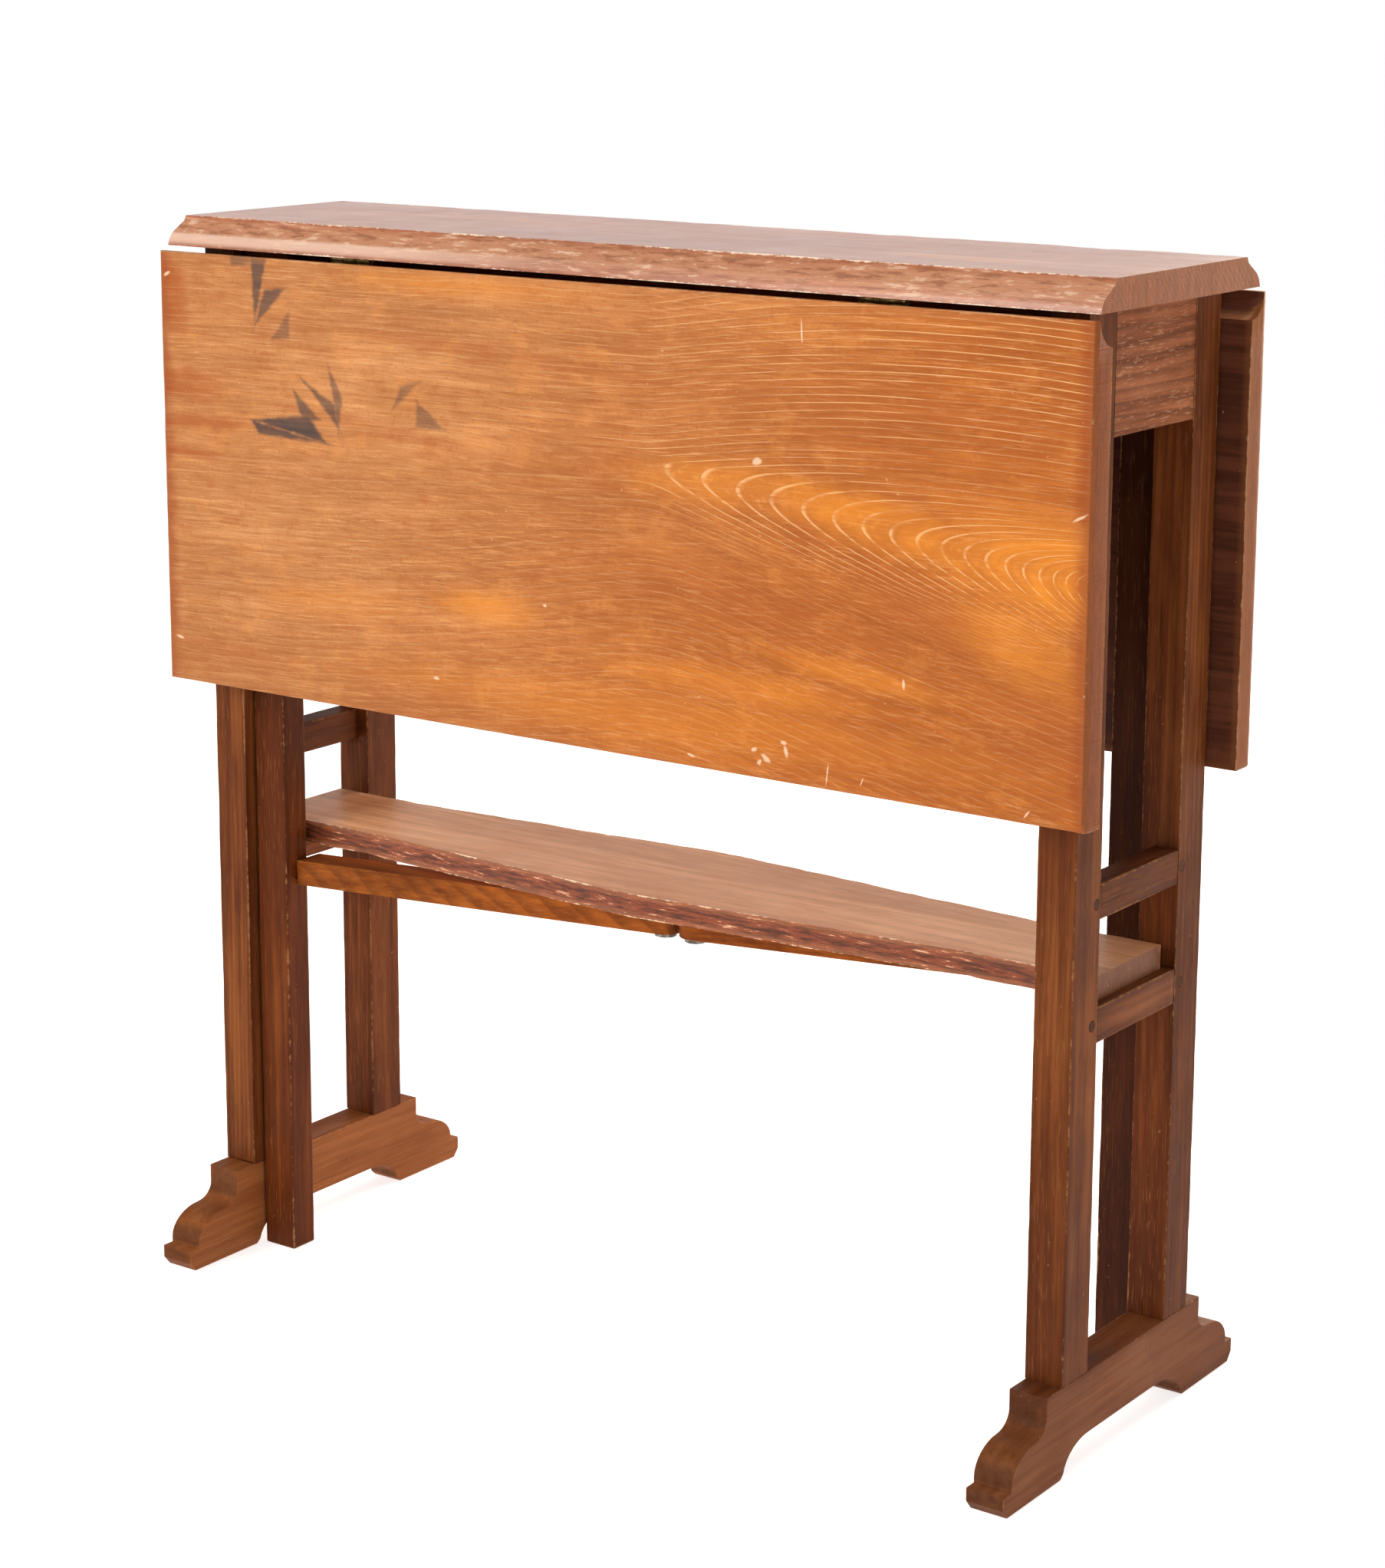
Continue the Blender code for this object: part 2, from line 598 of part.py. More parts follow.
def build():
    """Make the whole table."""
    top = outline("fixed_top", top_outline(), -TOP_HALF_LENGTH, TOP_HALF_LENGTH)
    finish(top, "top", None)
    for side in (-1, 1):
        word = "front" if side < 0 else "back"
        empty = joint_empty(f"leaf_{word}_hinge_line", (0.0, side * HINGE_Y, HINGE_Z))
        leaf = leaf_board(side, empty)
        for end in HINGE_PLACES:
            hinge(side, end, top, leaf, empty)
    for end in (-1, 1):
        trestle(end)
    shelf = shelf_board()
    bearer = bearer_board()
    for side in (-1, 1):
        gate(side, shelf, bearer)


build()
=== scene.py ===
"""The look of a worn Sutherland folding table: edges, grain, stains, light and camera.

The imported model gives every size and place. Each wooden piece is a copy of its CAD node with
its arrises rounded and worn in the mesh; the metal pieces keep their CAD shape.
"""

import json
from math import cos, radians, sin

import bmesh
import bpy
from mathutils import Matrix, Vector, noise

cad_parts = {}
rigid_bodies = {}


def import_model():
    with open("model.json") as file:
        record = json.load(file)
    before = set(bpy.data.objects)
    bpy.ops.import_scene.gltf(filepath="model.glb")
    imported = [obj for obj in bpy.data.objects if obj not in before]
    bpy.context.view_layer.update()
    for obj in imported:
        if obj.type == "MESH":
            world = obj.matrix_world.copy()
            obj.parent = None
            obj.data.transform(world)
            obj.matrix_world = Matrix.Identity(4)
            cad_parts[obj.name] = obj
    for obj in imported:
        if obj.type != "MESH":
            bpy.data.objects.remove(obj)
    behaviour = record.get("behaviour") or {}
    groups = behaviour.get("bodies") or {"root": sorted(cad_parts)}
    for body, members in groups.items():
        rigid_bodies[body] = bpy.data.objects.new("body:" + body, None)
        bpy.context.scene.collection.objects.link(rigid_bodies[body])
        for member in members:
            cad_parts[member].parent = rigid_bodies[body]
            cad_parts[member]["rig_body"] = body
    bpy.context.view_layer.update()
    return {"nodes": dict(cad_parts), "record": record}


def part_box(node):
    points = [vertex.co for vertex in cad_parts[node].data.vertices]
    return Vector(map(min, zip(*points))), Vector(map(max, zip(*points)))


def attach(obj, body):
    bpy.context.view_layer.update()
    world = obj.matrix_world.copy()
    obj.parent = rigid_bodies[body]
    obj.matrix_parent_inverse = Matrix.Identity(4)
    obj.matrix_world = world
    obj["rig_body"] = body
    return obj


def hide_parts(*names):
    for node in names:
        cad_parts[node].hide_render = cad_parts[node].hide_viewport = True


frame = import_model()

# The camera: its place in metres, its direction round the table in degrees, its lens in millimetres
CAMERA_PLACE = (1.2516, -1.7406, 0.8919)
CAMERA_AZIMUTH = 35.536
CAMERA_ELEVATION = 11.766
CAMERA_ROLL = 0.209
CAMERA_LENS = 79.05
CAMERA_SENSOR = 36.0
CAMERA_SHIFT = (0.0, -0.0841)

# Places inside a node that its box does not give
TOP_FLAT_Y = 0.0783             # half the width of the fixed top's flat
SHELF_NECK_X = 0.240            # where the shelf's slanting edges end
SHELF_NECK_Y = 0.041            # and half its width there
LEAF_HOLLOW_Z = 0.67            # where a leaf's hollow begins

# Working a CAD mesh
WELD = 0.00002                  # vertices nearer than this are one
FLAT_ANGLE = radians(0.4)       # faces that turn less than this are one face
ON_PLANE = 0.00006              # how near a plane an edge counts as lying on it
CUT_TOLERANCE = 0.000001
ROUND_SEGMENTS = 3              # facets across a rounded edge
SHARP_ANGLE = radians(38)       # an edge above this angle is shaded sharp

# Worn arrises: how wide the rounds are and how deep the wear
ROUND = {"top": 0.0010, "leaf": 0.0006, "shelf": 0.0011, "foot": 0.0009}
TOP_WEAR, TOP_WEAR_REACH = 0.0013, 0.0025
LEAF_WEAR, LEAF_WEAR_IN, LEAF_WEAR_ALONG = 0.0010, 0.006, 0.004
SHELF_WEAR, SHELF_WEAR_REACH = 0.0016, 0.0022
STICK_WEAR, STICK_WEAR_REACH = 0.0007, 1.6      # the reach in widths of the round
WEAR_POWER = 3.0                # a high power leaves most of an arris whole and bites deep in places
FINE_WEAR = 0.35                # the share of fine bites

# The floor and the world
FLOOR_SIZE = 60.0
FLOOR_DROP = 0.0004             # how far the floor lies under the feet
FLOOR_GLOW = 0.72
WHITE = (1.0, 1.0, 1.0, 1.0)

SLOTS = {row["node"]: row["material_slot"] for row in frame["record"]["subparts"]}


def srgb(red, green, blue):
    """A display colour, 0 to 255, as linear light."""
    def linear(value):
        value /= 255
        return value / 12.92 if value <= 0.04045 else ((value + 0.055) / 1.055) ** 2.4
    return (linear(red), linear(green), linear(blue), 1.0)


# ---------------------------------------------------------------- nodes

class Graph:
    """Short calls that add shader nodes and join them up."""

    def __init__(self, name):
        self.material = bpy.data.materials.new(name)
        self.material.use_nodes = True
        self.tree = self.material.node_tree
        self.shader = self.tree.nodes.get("Principled BSDF")

    def put(self, socket, value):
        """Join value to a socket if it is a socket, or set it if it is a number or a colour."""
        if isinstance(value, bpy.types.NodeSocket):
            self.tree.links.new(value, socket)
        elif value is not None:
            socket.default_value = value

    def math(self, operation, a, b=None, c=None):
        """A maths node."""
        node = self.tree.nodes.new("ShaderNodeMath")
        node.operation = operation
        for socket, value in zip(node.inputs, (a, b, c)):
            self.put(socket, value)
        return node.outputs[0]

    def add(self, *values):
        """The sum of two or more values."""
        total = values[0]
        for value in values[1:]:
            total = self.math("ADD", total, value)
        return total

    def times(self, a, b):
        """A product."""
        return self.math("MULTIPLY", a, b)

    def ramp(self, value, low, high, bottom=0.0, top=1.0):
        """A smooth step: bottom under low, top over high."""
        node = self.tree.nodes.new("ShaderNodeMapRange")
        node.interpolation_type = "SMOOTHSTEP"
        for socket, given in zip(node.inputs, (value, low, high, bottom, top)):
            self.put(socket, given)
        return node.outputs[0]

    def mix(self, amount, a, b, blend="MIX"):
        """A colour mix."""
        node = self.tree.nodes.new("ShaderNodeMix")
        node.data_type = "RGBA"
        node.blend_type = blend
        self.put(node.inputs[0], amount)
        self.put(node.inputs[6], a)
        self.put(node.inputs[7], b)
        return node.outputs[2]

    def vector(self, x, y, z):
        """Three values as a vector."""
        node = self.tree.nodes.new("ShaderNodeCombineXYZ")
        for socket, value in zip(node.inputs, (x, y, z)):
            self.put(socket, value)
        return node.outputs[0]

    def split(self, vector):
        """A vector's three values."""
        node = self.tree.nodes.new("ShaderNodeSeparateXYZ")
        self.put(node.inputs[0], vector)
        return list(node.outputs)

    def noise(self, vector, detail=2.0, roughness=0.5):
        """Fractal noise, 0 to 1."""
        node = self.tree.nodes.new("ShaderNodeTexNoise")
        self.put(node.inputs["Vector"], vector)
        node.inputs["Scale"].default_value = 1.0
        node.inputs["Detail"].default_value = detail
        node.inputs["Roughness"].default_value = roughness
        return node.outputs["Fac"]

    def noise_even(self, values, rate, detail=2.0, roughness=0.5):
        """Noise with the same rate, per metre, along X, Y and Z."""
        return self.noise(self.vector(*(self.times(value, rate) for value in values)), detail, roughness)

    def noise_face(self, x, z, x_rate, z_rate, layer, detail=2.0, roughness=0.5):
        """Noise over a face in X and Z with a rate for each; another layer is another noise."""
        return self.noise(self.vector(self.times(x, x_rate), layer, self.times(z, z_rate)), detail, roughness)

    def overlay(self, colour, *rows):
        """Colours laid over one another where a value runs from low to high.

        Each row is a value, low, high, the strength at high and the colour.
        """
        for value, low, high, strength, tint in rows:
            colour = self.mix(self.ramp(value, low, high, 0.0, strength), colour, tint)
        return colour

    def place(self):
        """The point and the normal, in the row frame at rest."""
        node = self.tree.nodes.new("ShaderNodeTexCoord")
        return node.outputs["Object"], node.outputs["Normal"]

    def bump(self, height, strength, distance):
        """A bump from a height."""
        node = self.tree.nodes.new("ShaderNodeBump")
        node.inputs["Strength"].default_value = strength
        node.inputs["Distance"].default_value = distance
        self.put(node.inputs["Height"], height)
        return node.outputs[0]


# ---------------------------------------------------------------- wood

AXES = "XYZ"


def seed_of(name):
    """A steady number from a name, so each piece has its own stretch of grain."""
    return sum((i + 1) * ord(letter) for i, letter in enumerate(name)) % 97 * 0.37


def edge_nearness(g, point, low, high):
    """Distance to the nearest edge of a box, as shader nodes: the middle of three face distances."""
    near = []
    for value, start, stop in zip(g.split(point), low, high):
        from_low = g.math("ABSOLUTE", g.math("SUBTRACT", value, start))
        from_high = g.math("ABSOLUTE", g.math("SUBTRACT", value, stop))
        near.append(g.math("MINIMUM", from_low, from_high))
    least = g.math("MINIMUM", near[0], near[1])
    most = g.math("MAXIMUM", near[0], near[1])
    return g.math("MAXIMUM", least, g.math("MINIMUM", most, near[2]))


def rings_straight(g, along, across, deep, spec, seed):
    """Ring count across a quarter-sawn or rift-sawn stick, gently wandering along the grain."""
    rate_along, rate_across, rings_off = 2.2, 7.0, 7.0
    wander = g.noise(
        g.vector(g.times(along, rate_along), g.times(across, rate_across), g.times(deep, rate_across)), 2.0,
    )
    tilt = radians(spec.get("tilt", 35.0) + seed * 7)
    face = g.add(g.times(across, cos(tilt)), g.times(deep, sin(tilt)))
    return g.add(g.times(face, spec.get("rings", 260.0)), g.times(wander, rings_off), seed)


MM = 1000.0                     # millimetres in a metre

# The arches on the front leaf, in millimetres
ARCH_TOP = 585.0                # over this height the rings are level
ARCH_DEPTH = -45.0              # and this far under the spine they are level again
FAN = (-80.0, -25.0)            # under the spine: quite level from the first on, fanned out above the second
SPINE_RIGHT = (350.0, 541.0, -0.139)    # the spine's two runs: a point's x and z, and the slope
SPINE_LEFT = (58.0, 582.0, 0.037)
SPINE_BEND = 6.0                # how softly one run turns into the other
LAST_TIP = 356.0                # where the last arch's tip lies
TIPS_REACH = 305.0              # and how far left of it the tips go on
TIPS_FADE = 20.0                # and how softly they stop
TIP_ROUND = 2.0                 # how far from the spine an arch's upper half turns into its lower half
OPEN_ABOVE = 9.0                # how wide an arch opens over the spine
OPEN_BELOW = (4.0, 0.028, 13.0)         # under it: at the least, more per millimetre, at the most
NARROWEST = (70.0, 70.0)        # where the arches are narrowest, and how softly they widen from there
RINGS_PER_ROOT = 1.28           # rings for the square root of a distance along the spine
RING_OVER = 4.6                 # between two rings over the arches
RING_UNDER = 5.5                # and under them
SWAY = 5.5                      # how far a ring strays


def rings_cathedral(g, along, up):
    """Ring count on the front leaf: nested arches whose tips run down to the right-hand end.

    In millimetres. The tips lie on a spine of two straight runs that ends at the right-hand
    end; over the arches and under them the rings are level lines.
    """
    def run(x, line):
        at_x, at_z, slope = line
        return g.math("MULTIPLY_ADD", x, slope, at_z - slope * at_x)
    x = g.times(along, MM)
    z = g.times(up, MM)
    sway = g.noise(g.vector(g.times(along, 6.0), g.times(up, 24.0), 3.7), 3.0, 0.5)
    z = g.add(z, g.times(g.math("SUBTRACT", sway, 0.5), SWAY))
    over = g.math("MAXIMUM", g.math("SUBTRACT", z, ARCH_TOP), 0.0)
    spine = g.math("SMOOTH_MIN", run(x, SPINE_RIGHT), run(x, SPINE_LEFT), SPINE_BEND)
    off = g.math("SUBTRACT", g.math("MINIMUM", z, ARCH_TOP), spine)
    fan = g.ramp(off, *FAN)
    under = g.math("MAXIMUM", g.math("MULTIPLY_ADD", off, -1.0, ARCH_DEPTH), 0.0)
    off = g.math("MAXIMUM", off, ARCH_DEPTH)
    below = g.ramp(off, TIP_ROUND, -TIP_ROUND)
    narrowest, softly = NARROWEST
    from_tip = g.math("SUBTRACT", x, narrowest)
    from_tip = g.math("SQRT", g.math("MULTIPLY_ADD", from_tip, from_tip, softly ** 2))
    least, more, most = OPEN_BELOW
    lower = g.math("MINIMUM", g.math("MULTIPLY_ADD", from_tip, more, least), most)
    opening = g.add(g.times(g.math("SUBTRACT", 1.0, below), OPEN_ABOVE), g.times(below, lower))
    behind = g.math("SMOOTH_MIN", g.math("SUBTRACT", LAST_TIP, x), TIPS_REACH, TIPS_FADE)
    behind = g.math("MULTIPLY_ADD", g.math("SUBTRACT", behind, TIPS_REACH), fan, TIPS_REACH)
    reach = g.add(behind, g.math("DIVIDE", g.times(off, off), opening))
    arches = g.times(g.math("SQRT", g.math("MAXIMUM", reach, 0.0)), RINGS_PER_ROOT)
    return g.add(arches, g.times(over, 1.0 / RING_OVER), g.times(under, 1.0 / RING_UNDER))


RING_ACROSS = 0.0042            # metres of streaks for one ring of the arches
RING_DEEP = 0.3                 # how much slower the streaks change into the leaf's depth
DEEP_END = 0.72                 # how dark the pits in end grain are
GRIME = 0.25                    # how dark the dirt along an arris is
GRAIN_BUMP = (0.35, 0.00035)    # the grain's relief: strength and height


def wood(name, spec, box=None, nearness=edge_nearness):
    """A worn, varnished, open-pored wood for one piece."""
    g = Graph(name)
    seed = seed_of(name)
    point, normal = g.place()
    axis = AXES.index(spec["grain"])
    order = [axis, (axis + 1) % 3, (axis + 2) % 3]
    values = g.split(point)
    facing = g.split(normal)
    along, across, deep = (values[i] for i in order)
    along_s = g.add(along, seed)

    # rings, and the way across them that fibres and pores follow
    if spec.get("cathedral", False):
        rings = rings_cathedral(g, values[0], values[2])
        across = g.times(rings, RING_ACROSS)
        deep = g.times(deep, RING_DEEP)
    else:
        rings = rings_straight(g, along_s, across, deep, spec, seed)
    phase = g.math("FRACT", rings)
    late = g.ramp(phase, 0.30, 0.85)
    line = g.times(g.ramp(phase, 0.78, 0.92), g.ramp(phase, 1.0, 0.94))

    def streaks(stretch, fine, detail, roughness):
        drawn_out = g.vector(g.times(along_s, stretch), g.times(across, fine), g.times(deep, fine))
        return g.noise(drawn_out, detail, roughness)
    broad = streaks(3.0, 11.0, 3.0, 0.55)
    blotch = streaks(10.0, 26.0, 4.0, 0.62)
    streak = streaks(6.0, 150.0, 3.0, 0.65)
    fibre = streaks(20.0, 560.0, 2.0, 0.6)
    pore = g.ramp(streaks(spec.get("pore_rate", 60.0), 900.0, 1.0, 0.5), 0.58, 0.68)
    pore_zone = g.ramp(streaks(5.0, 40.0, 2.0, 0.5), 0.40, 0.62)
    pore = g.times(pore, g.add(0.35, g.times(pore_zone, 0.65)))

    tone = g.add(g.times(broad, 0.50), g.times(blotch, 0.40), g.times(streak, 0.45), g.times(fibre, 0.25))
    colour = g.mix(g.ramp(tone, 0.58, 0.98), spec["dark"], spec["base"])
    lit = g.add(g.times(broad, 0.7), g.times(streak, 0.5), g.times(blotch, 0.3))
    colour = g.mix(g.ramp(lit, 0.76, 1.05), colour, spec["light"])
    colour = g.mix(g.times(late, spec.get("ring_depth", 0.35)), colour, spec["ring"])
    colour = g.mix(g.times(pore, spec.get("pore_amount", 0.45)), colour, spec["pore"])
    height = g.add(g.times(fibre, 0.35), g.times(pore, -1.0), g.times(late, 0.25))

    for dress in spec.get("dress", ()):
        colour = dress(g, colour, values, facing, line, streak, blotch)

    # end grain is darker and duller
    end = g.ramp(g.math("ABSOLUTE", facing[axis]), 0.6, 0.9)
    grit = g.noise_face(values[order[1]], values[order[2]], 520.0, 90.0, seed, 3.0, 0.65)
    deep_end = tuple(part * DEEP_END for part in spec["end"][:3]) + (1.0,)
    cut_grain = g.mix(g.ramp(grit, 0.36, 0.62), deep_end, spec["end"])
    colour = g.mix(g.times(end, spec.get("end_amount", 0.55)), colour, cut_grain)

    # rubbed and chipped arrises; on the fixed top's lower edge this pale line is partly a painted highlight
    rubbed_and_highlight = None
    if box is not None:
        distance = nearness(g, point, *box)
        ragged = g.noise_even(values, 190.0, 3.0, 0.65)
        patchy = g.noise_even(values, 17.0)
        reach = g.add(g.times(ragged, 0.0040), g.times(patchy, 0.0034))
        bare_and_shade = g.ramp(g.math("SUBTRACT", reach, distance), 0.0030, 0.0038)
        rubbed_and_highlight = g.times(bare_and_shade, spec.get("rub", 0.6))
        grime = g.times(g.ramp(distance, 0.006, 0.0015), GRIME)
        colour = g.mix(grime, colour, spec["dark"])
        colour = g.mix(rubbed_and_highlight, colour, spec["rubbed_and_highlight"])

    # fine pale specks and scratches
    fleck = g.ramp(g.noise_even(values, 260.0), 0.745, 0.775)
    colour = g.mix(g.times(fleck, spec.get("fleck", 0.35)), colour, spec["rubbed_and_highlight"])

    gloss = g.noise_even(values, 24.0, 3.0, 0.6)
    rough = g.add(g.times(gloss, 0.22), g.times(pore, 0.2), spec.get("rough", 0.30))
    if rubbed_and_highlight is not None:
        rough = g.add(rough, g.times(rubbed_and_highlight, 0.25))
    g.put(g.shader.inputs["Base Color"], colour)
    g.put(g.shader.inputs["Roughness"], rough)
    g.put(g.shader.inputs["Normal"], g.bump(height, *GRAIN_BUMP))
    g.shader.inputs["Specular IOR Level"].default_value = spec.get("specular", 0.22)
    if "coat" in spec:
        g.put(g.shader.inputs["Coat Weight"], g.times(g.math("SUBTRACT", 1.0, end), spec["coat"]))
    g.shader.inputs["Coat Roughness"].default_value = spec.get("coat_rough", 0.28)
    return g.material


def spot(g, values, centre, radii, turn, rough, ragged, sharp):
    """A soft-edged ellipse on a face in X and Z, 0 to 1; a noise makes its rim ragged."""
    x = g.math("SUBTRACT", values[0], centre[0])
    z = g.math("SUBTRACT", values[2], centre[1])
    c, s = cos(turn), sin(turn)
    u = g.math("MULTIPLY_ADD", x, c / radii[0], g.times(z, s / radii[0]))
    v = g.math("MULTIPLY_ADD", x, -s / radii[1], g.times(z, c / radii[1]))
    reach = g.math("SQRT", g.math("MULTIPLY_ADD", u, u, g.times(v, v)))
    reach = g.math("MULTIPLY_ADD", rough, ragged, g.math("SUBTRACT", reach, 0.5 * ragged))
    return g.ramp(reach, 1.0 + sharp, 1.0 - sharp)


def spots(g, values, table, rough, ragged, sharp):
    """The strongest of a table of ellipses at every place."""
    most = None
    for centre_x, centre_z, length, width, turn, strength in table:
        mark = spot(g, values, (centre_x, centre_z), (length, width), turn, rough, ragged, sharp)
        mark = g.times(mark, strength)
        most = mark if most is None else g.math("MAXIMUM", most, mark)
    return most


WEDGE_SOFT = 0.0016             # half the width of a wedge's fading rim
WEDGE_RAGGED = 0.0036           # how far the rim strays


def wedge(g, values, corners, rough):
    """A ragged three-cornered mark on a face in X and Z, 0 to 1; corners run clockwise."""
    inside = None
    for (x0, z0), (x1, z1) in zip(corners, corners[1:] + corners[:1]):
        length = ((x1 - x0) ** 2 + (z1 - z0) ** 2) ** 0.5
        in_x, in_z = (z1 - z0) / length, -(x1 - x0) / length
        depth = g.math("MULTIPLY_ADD", values[0], in_x, -in_x * x0 - in_z * z0)
        depth = g.math("MULTIPLY_ADD", values[2], in_z, depth)
        inside = depth if inside is None else g.math("MINIMUM", inside, depth)
    inside = g.math("MULTIPLY_ADD", g.math("SUBTRACT", rough, 0.5), WEDGE_RAGGED, inside)
    return g.ramp(inside, -WEDGE_SOFT, WEDGE_SOFT)


LEAF_STAINS = (
    # three corners in metres along and up the leaf, clockwise, then the strength
    (((-0.288, 0.694), (-0.254, 0.694), (-0.262, 0.685)), 0.62),
    (((-0.288, 0.694), (-0.262, 0.685), (-0.285, 0.682)), 0.62),
    (((-0.268, 0.688), (-0.255, 0.688), (-0.266, 0.645)), 0.85),
    (((-0.257, 0.668), (-0.239, 0.670), (-0.266, 0.644)), 0.85),
    (((-0.236, 0.656), (-0.236, 0.639), (-0.252, 0.636)), 0.50),
    (((-0.270, 0.583), (-0.206, 0.573), (-0.264, 0.574)), 0.95),
    (((-0.270, 0.583), (-0.221, 0.590), (-0.206, 0.573)), 0.95),
    (((-0.235, 0.607), (-0.211, 0.588), (-0.225, 0.584)), 0.80),
    (((-0.225, 0.612), (-0.199, 0.599), (-0.195, 0.583)), 0.82),
    (((-0.204, 0.624), (-0.192, 0.603), (-0.196, 0.582)), 0.68),
    (((-0.144, 0.615), (-0.127, 0.619), (-0.150, 0.600)), 0.50),
    (((-0.131, 0.607), (-0.108, 0.590), (-0.131, 0.590)), 0.55),
)
LEAF_GLOW = (
    # centre x and z, half length, half width, turn, strength
    (0.320, 0.548, 0.062, 0.026, -0.16, 0.75),
    (0.215, 0.563, 0.095, 0.013, -0.16, 0.60),
    (0.100, 0.576, 0.060, 0.012, 0.02, 0.45),
    (0.300, 0.506, 0.040, 0.018, -0.45, 0.50),
    (0.196, 0.473, 0.048, 0.007, -0.10, 0.55),
    (0.110, 0.456, 0.080, 0.009, -0.02, 0.45),
    (-0.075, 0.481, 0.034, 0.011, 0.0, 0.55),
    (-0.200, 0.470, 0.060, 0.010, 0.05, 0.35),
    (-0.088, 0.681, 0.080, 0.009, 0.0, 0.40),
    (0.060, 0.430, 0.200, 0.014, 0.0, 0.35),
)
LEAF_SHADE = (
    # centre x and z, half length, half width, turn, strength
    (-0.330, 0.600, 0.034, 0.010, 0.05, 0.80),
    (-0.322, 0.578, 0.055, 0.004, 0.05, 0.85),
    (-0.335, 0.556, 0.036, 0.003, 0.0, 0.80),
    (-0.338, 0.660, 0.012, 0.024, 0.15, 0.85),
    (-0.150, 0.585, 0.090, 0.005, -0.10, 0.30),
    (-0.060, 0.640, 0.200, 0.004, -0.06, 0.40),
    (0.235, 0.625, 0.110, 0.018, -0.05, 0.35),
    (0.245, 0.515, 0.050, 0.016, -0.45, 0.50),
    (0.130, 0.505, 0.110, 0.014, -0.12, 0.35),
    (0.315, 0.455, 0.040, 0.022, 0.0, 0.45),
    (0.250, 0.432, 0.090, 0.012, 0.0, 0.35),
    (-0.300, 0.425, 0.060, 0.010, 0.0, 0.35),
)
NICK_STRENGTH = 0.62
LEAF_NICKS = (
    # centre x and z, half length, half width, turn
    (0.127, 0.4195, 0.0020, 0.0012, 0.4),
    (0.136, 0.4150, 0.0034, 0.0015, -0.5),
    (0.148, 0.4265, 0.0018, 0.0011, 0.0),
    (0.150, 0.4210, 0.0012, 0.0030, 0.3),
    (0.131, 0.4125, 0.0014, 0.0010, 0.9),
    (0.1790, 0.4120, 0.0005, 0.0052, -0.12),
    (0.203, 0.4105, 0.0005, 0.0026, -0.4),
    (0.081, 0.4095, 0.0022, 0.0008, -0.2),
    (0.1272, 0.5918, 0.0030, 0.0019, 0.2),
    (0.343, 0.5800, 0.0050, 0.0007, 0.5),
    (0.2305, 0.4725, 0.0008, 0.0030, 0.1),
    (0.158, 0.6690, 0.0005, 0.0060, 0.05),
    (0.3137, 0.4085, 0.0026, 0.0006, 0.9),
    (-0.339, 0.4312, 0.0030, 0.0007, -0.2),
    (-0.1172, 0.4313, 0.0020, 0.0010, 0.0),
    (-0.3424, 0.6737, 0.0026, 0.0009, 0.5),
    (-0.0296, 0.4880, 0.0014, 0.0011, 0.0),
)
# painted shade on a leaf's inner face: its darker and lighter colours
INNER_SHADE_DARK, INNER_SHADE_LIGHT = srgb(74, 36, 22), srgb(104, 56, 36)


def paint_leaf_inner_shade(side):
    """Painted shade: a leaf's inner face painted darker, for the shade under the top; side is the way its
    show face looks.
    """
    def dress(g, colour, values, facing, line, streak, blotch):
        inner_shade = g.ramp(g.times(facing[1], -side), 0.2, 0.8)
        bare_and_shade = g.mix(g.ramp(g.add(streak, blotch), 0.80, 1.20), INNER_SHADE_DARK, INNER_SHADE_LIGHT)
        return g.mix(inner_shade, colour, bare_and_shade)
    return dress


LEAF_RUDDY = (0.93, 0.64, 0.25, 1.0)
LEAF_HALF = 0.3478              # half the leaf's length, less its rounded edge
INK = srgb(56, 50, 52)
PALE_LINE = srgb(238, 186, 128)
PALE_NICK = srgb(236, 206, 172)


